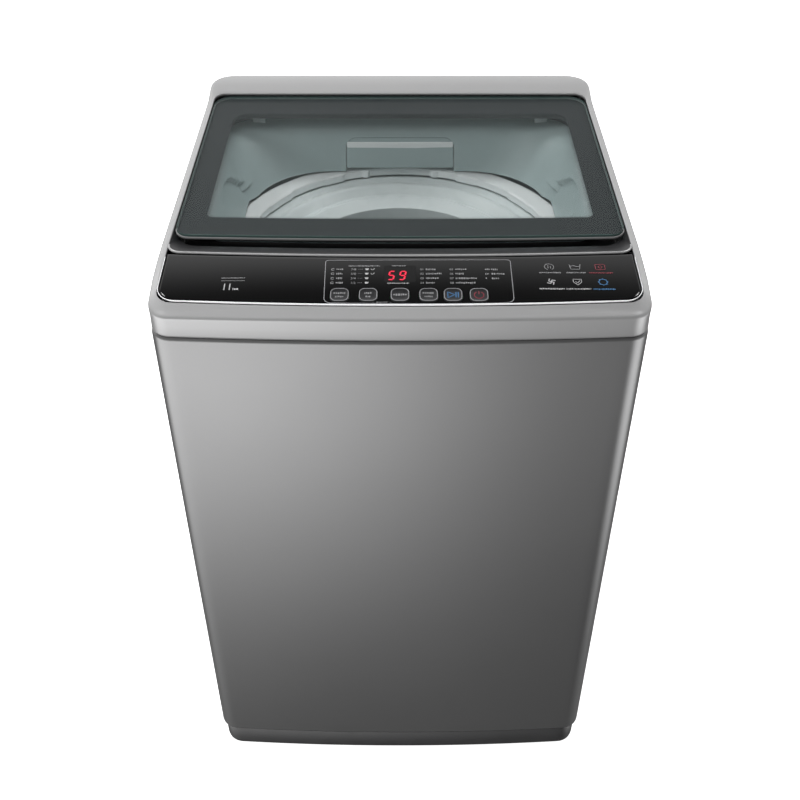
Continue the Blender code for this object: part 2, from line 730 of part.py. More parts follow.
# ---------------------------------------------------------------- drive
def build_drive():
    """Gear case, motor, pulleys and belt under the tub, on a steel plate."""
    under = TUB_BOTTOM_Z - GAP
    case = [
        (0.0132, 0.1420),
        (0.0480, 0.1420),
        (0.0560, 0.1500),
        (0.0560, 0.2020),
        (0.0860, 0.2020),
        (0.0860, under),
        (0.0312, under),
        (0.0312, 0.2300),
        (0.0132, 0.2300),
    ]
    add_object("gear_case", turned(case, steps=24), "aluminium")

    hull = arc(0.0, 0.0, 0.112, 45, 225, 10) + arc(MOTOR_X, MOTOR_Y, 0.086, 225, 405, 10)
    plate = add_object("support_plate", prism(hull, under - 0.0035, under), "zinc_steel")
    cut(plate, rod((0, 0, 0.19), (0, 0, 0.23), 0.0866, 32), "case_hole")

    motor = [
        (0.0, 0.1190),
        (0.0300, 0.1190),
        (0.0620, 0.1260),
        (0.0640, 0.1320),
        (0.0640, 0.1960),
        (0.0560, 0.2040),
        (0.0560, 0.2104),
        (0.0, 0.2104),
    ]
    body = add_object("motor", turned(motor, 28, (MOTOR_X, MOTOR_Y), solid=True), "zinc_steel")
    cut(body, rod((MOTOR_X, MOTOR_Y, 0.10), (MOTOR_X, MOTOR_Y, 0.15), 0.0066, 12), "motor_bore")

    build_pulley("drive_pulley", (0.0, 0.0), PULLEY_R, 0.0092, 0.1530)
    build_pulley("motor_pulley", (MOTOR_X, MOTOR_Y), MOTOR_PULLEY_R, 0.0062, 0.1480)
    build_belt()


def build_pulley(name, centre, r, shaft_r, shaft_top):
    """A V pulley in one piece with its shaft."""
    low, high = BELT_Z - 0.0085, BELT_Z + 0.0085
    profile = [
        (0.0, low),
        (r + 0.0040, low),
        (r + 0.0040, low + 0.002),
        (r - 0.0020, BELT_Z - 0.0035),
        (r - 0.0020, BELT_Z + 0.0035),
        (r + 0.0040, high - 0.002),
        (r + 0.0040, high),
        (shaft_r + 0.006, high),
        (shaft_r, high + 0.006),
        (shaft_r, shaft_top),
        (0.0, shaft_top),
    ]
    add_object(name, turned(profile, 24, centre, solid=True), "aluminium")


def build_belt():
    """The belt runs in both grooves along their common tangents."""
    away = Vector((MOTOR_X, MOTOR_Y)).length
    heading = math.degrees(math.atan2(MOTOR_Y, MOTOR_X))

    def loop(extra):
        big, small = PULLEY_R + extra, MOTOR_PULLEY_R + extra
        wrap = math.degrees(math.acos((big - small) / away))
        far = arc(MOTOR_X, MOTOR_Y, small, heading - wrap, heading + wrap, 10)
        near = arc(0.0, 0.0, big, heading + wrap, heading - wrap + 360, 20)
        return far + near

    outer, inner = loop(0.0032), loop(-0.0012)
    half_out, half_in = 0.0038, 0.0024
    rings = [
        ring(inner, BELT_Z - half_in),
        ring(outer, BELT_Z - half_out),
        ring(outer, BELT_Z + half_out),
        ring(inner, BELT_Z + half_in),
    ]
    add_object("drive_belt", skin(rings, closed=True), "rubber")


def build_suspension():
    """Each rod hangs from a gusset, passes a lug of the tub and carries a spring below it."""
    for sx, side in zip((-1, 1), SIDES):
        for sy, end in zip((-1, 1), ENDS):
            at = (sx * ROD_X, sy * ROD_X)
            low = SPRING_BOTTOM_Z
            profile = [
                (0.0, low - 0.0120),
                (0.0080, low - 0.0120),
                (0.0190, low - 0.0040),
                (0.0190, low - GAP),
                (ROD_R, low - GAP),
                (ROD_R, 0.8294),
                (0.0090, 0.8294),
                (0.0100, 0.8330),
                (0.0060, 0.8390),
                (0.0, 0.8390),
            ]
            add_object(f"rod_{end}_{side}", turned(profile, 10, at, solid=True), "zinc_steel")
            top = LUG_Z[0] - GAP
            coil = [(0.0105, low), (0.0155, low), (0.0155, top), (0.0105, top)]
            add_object(f"spring_{end}_{side}", turned(coil, 12, at), "zinc_steel")


# ---------------------------------------------------------------- water in, water out, small parts
def build_water():
    """Detergent drawer and housing, inlet valve, drain valve with its retractor, and the drain pipe."""
    low, high = DRAWER_Z
    housing = add_object(
        "drawer_housing",
        block((-0.0935, 0.2240, low - 0.0044), (0.0935, 0.2900, high + 0.0046)),
        "white_plastic",
    )
    cut(
        housing,
        block(
            (-DRAWER_X - 0.0007, 0.2000, low - 0.0010),
            (DRAWER_X + 0.0007, DRAWER_BACK_Y + 0.0010, high + 0.0010),
        ),
        "housing_mouth",
    )
    drawer = add_object(
        "detergent_drawer", block((-DRAWER_X, WALL_Y, low), (DRAWER_X, DRAWER_BACK_Y, high)), "grey_plastic"
    )
    for name, x0, x1 in (("powder", -0.0820, 0.0180), ("softener", 0.0210, 0.0820)):
        pocket = block((x0, WALL_Y + 0.0040, low + 0.0025), (x1, DRAWER_BACK_Y - 0.0030, high + 0.01))
        cut(drawer, pocket, f"pocket_{name}")

    x, z = 0.205, 0.892
    valve = add_object("inlet_valve", rod((x, 0.2600, z), (x, STUB_Y, z), 0.0132, 20), "white_plastic")
    join(valve, block((x - 0.021, 0.2560, 0.868), (x + 0.021, 0.2860, 0.9085)), "valve_body")
    cut(valve, rod((x, 0.2960, z), (x, 0.33, z), 0.0098, 16), "valve_bore")
    join(valve, block((x - 0.064, 0.2590, 0.872), (x - 0.0200, 0.2850, 0.905)), "valve_coil")
    hose_body = rod((0.0939, 0.270, 0.8785), (0.1406, 0.270, 0.8785), 0.0062, 12)
    hose = add_object("inlet_hose", hose_body, "rubber")
    cut(hose, rod((0.09, 0.270, 0.8785), (0.15, 0.270, 0.8785), 0.0042, 10), "hose_bore")
    sensor = [(0.0, 0.858), (0.030, 0.858), (0.030, 0.878), (0.018, 0.886), (0.0, 0.886)]
    add_object("level_sensor", turned(sensor, 20, (-0.205, 0.2600), solid=True), "white_plastic")

    dx, dy = -0.110, 0.130
    valve_profile = [
        (0.0, 0.1500),
        (0.0260, 0.1500),
        (0.0260, 0.2000),
        (0.0330, 0.2000),
        (0.0330, TUB_BOTTOM_Z - GAP),
        (0.0, TUB_BOTTOM_Z - GAP),
    ]
    add_object("drain_valve", turned(valve_profile, 20, (dx, dy), solid=True), "white_plastic")
    retractor = block((-0.020, 0.125, 0.1650), (0.045, 0.175, TUB_BOTTOM_Z - GAP), 0.003)
    add_object("drain_retractor", retractor, "dark_plastic")

    z = DRAIN_Z
    pipe = add_object("drain_pipe", rod((dx, dy - 0.018, z), (dx, STUB_Y, z), 0.0140, 18), "dark_plastic")
    join(pipe, rod((dx, dy, z), (dx, dy, z + 0.0170), 0.0175, 18), "pipe_socket")
    join(pipe, rod((dx, REAR_Y - 0.0080, z), (dx, REAR_Y - 0.0045, z), 0.0200, 18), "pipe_collar")
    cut(pipe, rod((dx, dy, z), (dx, 0.33, z), 0.0115, 14), "pipe_bore")
    cut(pipe, rod((dx, dy, z), (dx, dy, z + 0.03), 0.0115, 14), "socket_bore")
    bellows = [(0.0125, z + 0.0174), (0.0175, z + 0.0174), (0.0175, 0.1496), (0.0125, 0.1496)]
    add_object("drain_bellows", turned(bellows, 16, (dx, dy)), "rubber")

    gland_body = rod((0.215, 0.2900, 0.165), (0.215, 0.3140, 0.165), 0.0088, 16)
    gland = add_object("cord_gland", gland_body, "rubber")
    join(gland, rod((0.215, 0.3034, 0.165), (0.215, 0.3075, 0.165), 0.0130, 16), "gland_flange")
    cut(gland, rod((0.215, 0.28, 0.165), (0.215, 0.33, 0.165), 0.0042, 12), "gland_bore")


# Each moving group: what it moves with, a point on its joint's axis, and its pieces.
GROUPS = {
    "lid": (None, (0.0, HINGE_Y, HINGE_Z), ["lid_glass", "lid_frame"]),
    "drawer": (None, (0.0, WALL_Y, DRAWER_Z[0]), ["detergent_drawer"]),
    "tub": (
        None,
        (0.0, 0.0, TUB_BOTTOM_Z),
        [
            "outer_tub",
            "tub_ring",
            "gear_case",
            "support_plate",
            "motor",
            "drive_belt",
            "drain_valve",
            "drain_retractor",
        ],
    ),
    "basket": (
        "tub",
        (0.0, 0.0, BASKET_BOTTOM_Z),
        ["basket_drum", "balance_ring", "basket_base", "basket_hub", "lint_filter_left", "lint_filter_right"],
    ),
    "agitator": ("tub", (0.0, 0.0, BASKET_BOTTOM_Z), ["pulsator", "pulsator_bolt", "pulsator_shaft"]),
    "driven_wheel": ("tub", (0.0, 0.0, BELT_Z), ["drive_pulley"]),
    "motor_wheel": ("tub", (MOTOR_X, MOTOR_Y, BELT_Z), ["motor_pulley"]),
}
for _side in SIDES:
    _name = f"foot_front_{_side}"
    GROUPS[f"front_foot_{_side}"] = (None, (*FEET[_name], 0.0), [_name])
for _name, _x in BUTTON_X.items():
    GROUPS[f"key_{_name}"] = (None, (_x, BUTTON_Y, top_z(BUTTON_Y)), [f"button_{_name}"])


def group_pieces():
    """Parents each moving group's pieces to an empty on its joint's axis."""
    empties = {}
    for group, (base, point, names) in GROUPS.items():
        empty = bpy.data.objects.new(group, None)
        empty.empty_display_size = 0.05
        bpy.context.scene.collection.objects.link(empty)
        above = Vector((0.0, 0.0, 0.0))
        if base:
            empty.parent, above = empties[base]
        empty.location = Vector(point) - above
        empties[group] = (empty, Vector(point))
        for name in names:
            obj = bpy.data.objects[name]
            obj.parent = empty
            obj.location = -Vector(point)


def main():
    for obj in list(bpy.data.objects):
        bpy.data.objects.remove(obj, do_unlink=True)
    build_cabinet()
    build_rear_panel()
    build_base()
    build_feet()
    build_top_cover()
    build_lid_surround()
    build_collar()
    build_fascia()
    build_controls()
    build_lid()
    build_tub()
    build_basket()
    build_pulsator()
    build_drive()
    build_suspension()
    build_water()
    group_pieces()


main()
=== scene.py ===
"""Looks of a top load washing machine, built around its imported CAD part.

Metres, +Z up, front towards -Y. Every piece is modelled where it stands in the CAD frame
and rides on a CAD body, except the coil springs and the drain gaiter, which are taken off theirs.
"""

import json
import math
import random

import bmesh
import bpy
from mathutils import Matrix, Vector

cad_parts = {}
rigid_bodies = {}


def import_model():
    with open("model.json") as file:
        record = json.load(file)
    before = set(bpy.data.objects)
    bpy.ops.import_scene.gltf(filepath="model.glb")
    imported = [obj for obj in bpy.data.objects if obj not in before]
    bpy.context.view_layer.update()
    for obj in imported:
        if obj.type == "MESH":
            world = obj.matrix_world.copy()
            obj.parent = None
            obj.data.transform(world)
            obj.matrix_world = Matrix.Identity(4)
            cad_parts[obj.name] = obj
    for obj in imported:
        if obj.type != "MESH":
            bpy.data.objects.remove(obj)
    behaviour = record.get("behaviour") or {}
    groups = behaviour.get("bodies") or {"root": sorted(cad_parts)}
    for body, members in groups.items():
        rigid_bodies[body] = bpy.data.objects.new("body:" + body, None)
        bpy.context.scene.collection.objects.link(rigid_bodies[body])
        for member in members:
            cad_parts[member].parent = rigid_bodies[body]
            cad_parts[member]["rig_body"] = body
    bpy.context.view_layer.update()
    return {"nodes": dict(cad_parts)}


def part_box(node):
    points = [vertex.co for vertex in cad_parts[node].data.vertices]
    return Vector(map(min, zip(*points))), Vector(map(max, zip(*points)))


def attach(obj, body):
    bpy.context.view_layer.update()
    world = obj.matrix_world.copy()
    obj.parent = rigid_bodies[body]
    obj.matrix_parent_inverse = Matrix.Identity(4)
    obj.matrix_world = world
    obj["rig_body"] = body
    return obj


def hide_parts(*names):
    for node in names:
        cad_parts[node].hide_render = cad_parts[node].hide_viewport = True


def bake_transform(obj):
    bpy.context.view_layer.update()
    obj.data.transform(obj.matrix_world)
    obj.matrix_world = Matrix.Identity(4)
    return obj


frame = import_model()

# ---------------------------------------------------------------- shapes shared by many pieces
HALF_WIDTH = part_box("cabinet_shell")[1].x
FRONT_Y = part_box("cabinet_shell")[0].y
REAR_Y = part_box("rear_panel")[1].y
BASE_TOP_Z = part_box("base_frame")[1].z
BASE_BOTTOM_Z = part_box("base_frame")[0].z
CABINET_TOP_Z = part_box("cabinet_shell")[1].z
COVER_BOTTOM_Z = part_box("top_cover")[0].z
FRONT_BOW = 0.010
LID_Z0 = 0.9191
LID_SLOPE = math.tan(math.radians(2.5))
BEAD_Y = -0.2078
BEAD_BOW = 0.0085
RAIL_IN_X = 0.2893
PANEL_FRONT_Y = -0.2995
LIP_Y = 0.2471
PANEL_TILT = (math.tan(math.radians(6)), math.tan(math.radians(11)))
PANEL_DEPTH = 0.0917
HINGE_Y, HINGE_Z, HINGE_X = 0.2265, 0.9210, 0.2213
GLASS_X, GLASS_FRONT_Y, GLASS_BACK_Y = 0.2868, -0.1644, 0.2447
WINDOW_X, WINDOW_FRONT_Y, WINDOW_BACK_Y = 0.2528, -0.1155, 0.1918
FEET = {
    "foot_front_left": (-0.245, -0.250),
    "foot_front_right": (0.245, -0.250),
    "foot_rear_left": (-0.245, 0.240),
    "foot_rear_right": (0.245, 0.240),
}
ROD_X = 0.238
INLET_AT = (0.205, 0.892)  # x and z on the rear
GLAND_AT = (0.215, 0.165)
DRAIN_AT = (-0.110, 0.130)  # x and y under the tub
DRAIN_Z = 0.084
BACKWARDS = (0, 1, 0)


def skin(rings, closed=False):
    """A surface over rings of equally many points. It is closed into a loop, or capped at both ends."""
    bm = bmesh.new()
    loops = [[bm.verts.new(point) for point in ring] for ring in rings]
    pairs = list(zip(loops, loops[1:]))
    if closed:
        pairs.append((loops[-1], loops[0]))
    else:
        bm.faces.new(loops[0])
        bm.faces.new(loops[-1])
    count = len(loops[0])
    for low, high in pairs:
        for i in range(count):
            j = (i + 1) % count
            bm.faces.new((low[i], low[j], high[j], high[i]))
    return bm


def turned(profile, steps=96, centre=(0.0, 0.0), solid=False):
    """A turned shape about a vertical axis from (radius, z) points."""
    bm = bmesh.new()
    verts = [bm.verts.new((centre[0] + r, centre[1], z)) for r, z in profile]
    ends = zip(verts, verts[1:]) if solid else zip(verts, verts[1:] + verts[:1])
    edges = [bm.edges.new(pair) for pair in ends]
    bmesh.ops.spin(
        bm, geom=verts + edges, cent=(*centre, 0.0), axis=(0, 0, 1), angle=math.tau, steps=steps,
        use_merge=True
    )
    bmesh.ops.remove_doubles(bm, verts=bm.verts, dist=1e-6)
    return bm


def drill(r, reach, steps):
    """A cylinder for cutting a hole, reaching as far up as down."""
    return turned([(0, -reach), (r, -reach), (r, reach), (0, reach)], steps, solid=True)


def tube(path, radius, steps=16, closed=False, squash=1.0):
    """A round bar along a path. The radius may be a function of the position along it, from 0 to 1."""
    points = [Vector(p) for p in path]
    count = len(points)
    rings = []
    side = None
    for i, point in enumerate(points):
        ahead = points[(i + 1) % count] if closed or i + 1 < count else point
        behind = points[i - 1] if closed or i else point
        along = (ahead - behind).normalized()
        if side is None:
            side = along.orthogonal().normalized()
        side = (side - along * side.dot(along)).normalized()
        up = along.cross(side)
        r = radius(i / (count - 1)) if callable(radius) else radius
        rings.append(
            [
                point + side * r * math.cos(a) + up * r * squash * math.sin(a)
                for a in (math.tau * k / steps for k in range(steps))
            ]
        )
    return skin(rings, closed=closed)


def arc(cx, cy, radius, start, end, steps):
    angles = [math.radians(start + (end - start) * i / steps) for i in range(steps + 1)]
    return [(cx + radius * math.cos(a), cy + radius * math.sin(a)) for a in angles]


def ease(value, start, end):
    t = min(1.0, max(0.0, (value - start) / (end - start)))
    return t * t * (3 - 2 * t)


def smooth_profile(points, radii, steps=5):
    """A polyline in a plane with its inner corners rounded to the given radii."""
    made = [points[0]]
    for a, b, c, r in zip(points, points[1:], points[2:], radii):
        a, b, c = Vector(a), Vector(b), Vector(c)
        u, v = (a - b).normalized(), (c - b).normalized()
        angle = u.angle(v)
        if r <= 0 or angle > math.pi - 0.05:
            made.append(tuple(b))
            continue
        reach = min(r / math.tan(angle / 2), (a - b).length * 0.49, (c - b).length * 0.49)
        start, end = b + u * reach, b + v * reach
        for k in range(steps + 1):
            t = k / steps
            made.append(tuple(start * (1 - t) ** 2 + b * 2 * t * (1 - t) + end * t**2))
    made.append(points[-1])
    return made


FRONT_STEPS, SIDE_STEPS, CORNER_STEPS, BACK_STEPS = 48, 16, 12, 24


def outline(half_width, front, back, r_front, r_back, bow=FRONT_BOW, side_steps=SIDE_STEPS):
    """A plan outline, counter-clockwise from the front left: bowed front, straight sides, rounded corners."""
    lean = math.atan(2 * bow * (half_width - r_front) / half_width**2)
    front_x = half_width - r_front + r_front * math.sin(lean)
    front_y = front + bow * (front_x / half_width) ** 2
    centre_y = front_y + r_front * math.cos(lean)
    points = []
    for i in range(1, FRONT_STEPS):
        x = front_x * (2 * i / FRONT_STEPS - 1)
        points.append((x, front + bow * (x / half_width) ** 2))
    points += arc(half_width - r_front, centre_y, r_front, -90 + math.degrees(lean), 0, CORNER_STEPS)
    side_end = back - r_back
    side = [centre_y + (side_end - centre_y) * i / side_steps for i in range(1, side_steps)]
    points += [(half_width, y) for y in side]
    points += arc(half_width - r_back, back - r_back, r_back, 0, 90, CORNER_STEPS)
    reach = half_width - r_back
    points += [(reach * (1 - 2 * i / BACK_STEPS), back) for i in range(1, BACK_STEPS)]
    points += arc(-half_width + r_back, back - r_back, r_back, 90, 180, CORNER_STEPS)
    points += [(-half_width, y) for y in reversed(side)]
    points += arc(-half_width + r_front, centre_y, r_front, 180, 270 - math.degrees(lean), CORNER_STEPS)
    return points


def ring(points, height):
    """An outline lifted to a height, which is a number or a function of x and y."""
    return [(x, y, height(x, y) if callable(height) else height) for x, y in points]


def lid_z(y):
    return LID_Z0 + LID_SLOPE * y


def bead_y(x):
    return BEAD_Y + BEAD_BOW * (x / RAIL_IN_X) ** 2


def panel_z(x, y):
    """The control panel's surface: it starts at the bead and steepens towards the front."""
    d = max(0.0, bead_y(x) - y)
    start, end = PANEL_TILT
    return lid_z(BEAD_Y) - start * d - (end - start) / (2 * PANEL_DEPTH) * d * d


def top_z(x, y):
    return lid_z(y) if y > bead_y(x) else panel_z(x, y)


def rounded(half_x, half_y, r, steps=6, centre=(0.0, 0.0)):
    """A rectangle with round corners, about a centre."""
    cx, cy = centre
    x, y = half_x - r, half_y - r
    corners = [(cx + x, cy - y, -90), (cx + x, cy + y, 0), (cx - x, cy + y, 90), (cx - x, cy - y, 180)]
    return [p for px, py, a in corners for p in arc(px, py, r, a, a + 90, steps)]


def slab(points, low, high, edge=0.0006, to_world=lambda x, y, z: (x, y, z)):
    """A plate over a plan outline, with its upper edges rounded. to_world places each point."""
    cx = sum(p[0] for p in points) / len(points)
    cy = sum(p[1] for p in points) / len(points)
    reach = max(abs(p[0] - cx) for p in points), max(abs(p[1] - cy) for p in points)

    def shrunk(by):
        return [(cx + (x - cx) * (1 - by / reach[0]), cy + (y - cy) * (1 - by / reach[1])) for x, y in points]

    levels = [(edge, low), (0.0, low + edge), (0.0, high - edge)]
    levels += [(edge * (1 - math.cos(a)), high - edge + edge * math.sin(a)) for a in (0.5, 1.0, math.pi / 2)]
    return skin([[to_world(x, y, z) for x, y in shrunk(by)] for by, z in levels])


def box_mesh(low, high, bevel=0.001, segments=2):
    bm = bmesh.new()
    size = [b - a for a, b in zip(low, high)]
    middle = [(a + b) / 2 for a, b in zip(low, high)]
    bmesh.ops.create_cube(bm, size=1.0, matrix=Matrix.Translation(middle) @ Matrix.Diagonal((*size, 1.0)))
    bmesh.ops.bevel(bm, geom=bm.edges[:], offset=bevel, segments=segments, affect="EDGES", profile=0.6)
    return bm


def merged(*parts):
    """One bmesh holding all the parts."""
    whole = bmesh.new()
    for part in parts:
        mesh = bpy.data.meshes.new("part")
        part.to_mesh(mesh)
        part.free()
        whole.from_mesh(mesh)
        bpy.data.meshes.remove(mesh)
    return whole


def lying(bm, origin, axis):
    """Turns a shape made about +Z so that it points along axis from origin."""
    turn = Vector(axis).to_track_quat("Z", "Y").to_matrix().to_4x4()
    bm.transform(Matrix.Translation(origin) @ turn)
    return bm


def piece(name, bm, body, finish, replaces=(), sharp=35, outward=True):
    """A piece made from bm that rides on a body, with its finish and material slot."""
    if outward:
        bmesh.ops.recalc_face_normals(bm, faces=bm.faces)
    mesh = bpy.data.meshes.new(name)
    bm.to_mesh(mesh)
    bm.free()
    mesh.shade_smooth()
    mesh.set_sharp_from_angle(angle=math.radians(sharp))
    obj = bpy.data.objects.new(name, mesh)
    bpy.context.scene.collection.objects.link(obj)
    mesh.materials.append(finish)
    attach(obj, body)
    if replaces:
        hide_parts(*replaces)
    return obj


def cut(obj, *shapes):
    """Cuts shapes out of a piece."""
    for bm in shapes:
        bmesh.ops.recalc_face_normals(bm, faces=bm.faces)
        mesh = bpy.data.meshes.new("cutter")
        bm.to_mesh(mesh)
        bm.free()
        cutter = bpy.data.objects.new("cutter", mesh)
        bpy.context.scene.collection.objects.link(cutter)
        modifier = obj.modifiers.new("cut", "BOOLEAN")
        modifier.operation = "DIFFERENCE"
        modifier.solver = "EXACT"
        modifier.object = cutter
        bpy.context.view_layer.update()
        depsgraph = bpy.context.evaluated_depsgraph_get()
        result = bpy.data.meshes.new_from_object(obj.evaluated_get(depsgraph))
        obj.modifiers.remove(modifier)
        obj.data = result
        bpy.data.objects.remove(cutter)
    return obj


# ---------------------------------------------------------------- finishes
class Nodes:
    """A small tool for node trees: each call adds a node and returns the socket that it gives."""

    def __init__(self, name):
        self.material = bpy.data.materials.new(name)
        self.material.use_nodes = True
        self.tree = self.material.node_tree
        self.shader = self.tree.nodes["Principled BSDF"]
        self.place = self.add("ShaderNodeTexCoord").outputs["Object"]

    def add(self, kind, **settings):
        node = self.tree.nodes.new(kind)
        for key, value in settings.items():
            setattr(node, key, value)
        return node

    def link(self, source, target):
        self.tree.links.new(source, target)

    def fill(self, node, values):
        for key, value in values.items():
            if isinstance(value, bpy.types.NodeSocket):
                self.link(value, node.inputs[key])
            else:
                node.inputs[key].default_value = value

    def scaled(self, x, y, z):
        node = self.add("ShaderNodeMapping")
        self.fill(node, {"Vector": self.place, "Scale": (x, y, z)})
        return node.outputs["Vector"]

    def noise(self, scale, detail=4.0, rough=0.55, at=None, distortion=0.0):
        node = self.add("ShaderNodeTexNoise")
        self.fill(
            node,
            {
                "Vector": at or self.place,
                "Scale": scale,
                "Detail": detail,
                "Roughness": rough,
                "Distortion": distortion,
            },
        )
        return node.outputs["Fac"]

    def speckles(self, scale):
        """Three random values for each cell of a fine pattern."""
        cells = self.add("ShaderNodeTexVoronoi")
        self.fill(cells, {"Vector": self.place, "Scale": scale})
        split = self.add("ShaderNodeSeparateColor")
        self.link(cells.outputs["Color"], split.inputs[0])
        return split.outputs

    def span(self, value, low, high, to_low, to_high):
        node = self.add("ShaderNodeMapRange")
        self.fill(node, {0: value, 1: low, 2: high, 3: to_low, 4: to_high})
        return node.outputs[0]

    def sums(self, operation, a, b):
        node = self.add("ShaderNodeMath", operation=operation)
        self.fill(node, {0: a, 1: b})
        return node.outputs[0]

    def blend(self, factor, a, b):
        node = self.add("ShaderNodeMix", data_type="RGBA")
        self.fill(node, {0: factor, 6: a if not isinstance(a, tuple) else (*a, 1.0)})
        self.fill(node, {7: b if not isinstance(b, tuple) else (*b, 1.0)})
        return node.outputs[2]

    def bump(self, height, strength, distance, below=None):
        node = self.add("ShaderNodeBump")
        self.fill(node, {"Height": height, "Strength": strength, "Distance": distance})
        if below:
            self.link(below, node.inputs["Normal"])
        return node.outputs["Normal"]

    def edges(self):
        """How sharp and convex the surface is, from 0 on flat parts to 1 on sharp convex ones."""
        node = self.add("ShaderNodeNewGeometry")
        return self.span(node.outputs["Pointiness"], 0.505, 0.56, 0.0, 1.0)

    def set(self, **values):
        names = {key.replace("_", " ").title().replace("Ior", "IOR"): value for key, value in values.items()}
        self.fill(self.shader, names)
        return self.material


def shade(colour, by):
    return tuple(max(0.0, c * by) for c in colour)


def moulded(name, colour, rough, grain=900.0, depth=0.00002, spread=0.08, dust=0.25):
    """Injection-moulded plastic: fine spark-eroded grain, slow colour drift, dull smudges, paler edges."""
    n = Nodes(name)
    fine, slow, smudge = n.noise(grain, 3.0), n.noise(7.0, 3.0), n.noise(38.0, 5.0, 0.6, distortion=0.4)
    tint = n.blend(n.span(slow, 0.3, 0.7, 0.0, 1.0), shade(colour, 1 - spread), shade(colour, 1 + spread))
    tint = n.blend(n.sums("MULTIPLY", n.edges(), 0.35), tint, shade(colour, 1.35))
    tint = n.blend(n.span(smudge, 0.58, 0.85, 0.0, dust), tint, shade(colour, 0.86))
    dull = n.sums(
        "ADD", n.span(smudge, 0.35, 0.75, rough * 0.86, rough * 1.18), n.span(fine, 0.3, 0.7, -0.03, 0.03),
    )
    normal = n.bump(fine, 0.5, depth, n.bump(n.noise(60.0, 2.0), 0.25, depth * 3))
    return n.set(base_color=tint, roughness=dull, normal=normal)


def steel(name, colour, rough, brush=(40.0, 40.0, 2200.0), stretch=0.10, spangle=0.0):
    """Bare or plated metal, with brushing along one direction, blotches and fine scratches."""
    n = Nodes(name)
    lines = n.noise(1.0, 4.0, 0.65, at=n.scaled(*brush))
    blotch = n.noise(24.0, 5.0, 0.6)
    tint = n.blend(n.span(blotch, 0.3, 0.7, 0.0, 1.0), shade(colour, 0.93), shade(colour, 1.04))
    tint = n.blend(n.span(lines, 0.35, 0.7, 0.0, 0.25), tint, shade(colour, 0.82))
    if spangle:
        pale = n.speckles(130.0)[0]
        tint = n.blend(n.sums("MULTIPLY", pale, spangle), tint, shade(colour, 1.25))
    dull = n.sums(
        "ADD", n.span(blotch, 0.3, 0.7, rough * 0.85, rough * 1.2), n.span(lines, 0.3, 0.7, 0.0, stretch),
    )
    normal = n.bump(lines, 0.25, 0.00003)
    return n.set(base_color=tint, roughness=dull, metallic=1.0, normal=normal)


def flaked_paint(name, colour, rough, metallic):
    """Metallic paint: fine flakes under a smooth skin, with slight orange peel."""
    n = Nodes(name)
    bright, dulled, raised = n.speckles(5200.0)
    cloud = n.noise(3.0, 3.0)
    tint = n.blend(n.span(cloud, 0.3, 0.7, 0.0, 1.0), shade(colour, 0.985), shade(colour, 1.015))
    tint = n.blend(n.sums("MULTIPLY", bright, 0.16), tint, shade(colour, 1.6))
    wipe = n.noise(1.0, 3.0, 0.5, at=n.scaled(3.0, 3.0, 4.0))
    dull = n.sums(
        "ADD", n.span(wipe, 0.3, 0.75, rough - 0.01, rough + 0.012), n.span(dulled, 0, 1, -0.03, 0.03),
    )
    peel = n.bump(n.noise(420.0, 2.0), 0.06, 0.00012)
    normal = n.bump(raised, 0.05, 0.00002, peel)
    return n.set(base_color=tint, roughness=dull, metallic=metallic, normal=normal)


PAINT = flaked_paint("cabinet_paint", (0.215, 0.215, 0.216), 0.34, 0.86)
SILVER = flaked_paint("silver_plastic", (0.37, 0.37, 0.372), 0.36, 0.50)
GLOSS = moulded("gloss_black", (0.0020, 0.0020, 0.0021), 0.055, 300.0, 0.000003, 0.05, 0.1)
MATTE = moulded("matte_black", (0.020, 0.020, 0.021), 0.42)
DARK = moulded("dark_plastic", (0.026, 0.026, 0.027), 0.36)
GREY = moulded("grey_plastic", (0.60, 0.66, 0.66), 0.30, 500.0, 0.00001, 0.03, 0.2)
WHITE = moulded("white_plastic", (0.74, 0.78, 0.78), 0.32, 500.0, 0.00001, 0.03, 0.2)
WALL = moulded("wall_grey", (0.33, 0.41, 0.41), 0.24, 500.0, 0.00001, 0.03, 0.2)
# Near-white finish of the fascia trim: its pale colour is a painted highlight along the panel's edge.
RIM_HIGHLIGHT = moulded("panel_rim_painted_highlight", (0.74, 0.74, 0.75), 0.30, 500.0, 0.00001, 0.03, 0.2)
STAINLESS = steel("stainless", (0.64, 0.64, 0.65), 0.24)
ZINC = steel("zinc_steel", (0.50, 0.51, 0.52), 0.34, (60.0, 60.0, 60.0), 0.05, spangle=0.4)
ALUMINIUM = steel("aluminium", (0.60, 0.60, 0.61), 0.36, (500.0, 500.0, 500.0), 0.12)
RUBBER = moulded("rubber", (0.018, 0.018, 0.018), 0.70, 1400.0, 0.00004, 0.12, 0.35)
BOARD = moulded("board_green", (0.015, 0.12, 0.045), 0.40, 700.0, 0.00002)
BUTTON = moulded("button_grey", (0.011, 0.011, 0.012), 0.34, 700.0, 0.00001)


def ink(name, colour, strength=0.0):
    """A printed or lit mark: a thin coat of ink with slight unevenness."""
    n = Nodes(name)
    uneven = n.noise(2500.0, 3.0)
    tint = n.blend(n.span(uneven, 0.3, 0.7, 0.0, 1.0), shade(colour, 0.86), shade(colour, 1.08))
    dull = n.span(uneven, 0.2, 0.8, 0.32, 0.50)
    normal = n.bump(uneven, 0.15, 0.00001)
    return n.set(
        base_color=tint,
        roughness=dull,
        normal=normal,
        emission_color=(*colour, 1.0),
        emission_strength=strength,
    )


INK = ink("legend_ink", (0.20, 0.20, 0.205))
INK_PALE = ink("legend_ink_pale", (0.34, 0.34, 0.345))
INK_LINE = ink("legend_line", (0.24, 0.24, 0.25))
INK_BLUE = ink("legend_blue", (0.035, 0.13, 0.28))
INK_RED = ink("legend_red", (0.19, 0.022, 0.035))
LIT_RED = ink("digit_red", (0.60, 0.002, 0.030), 0.42)


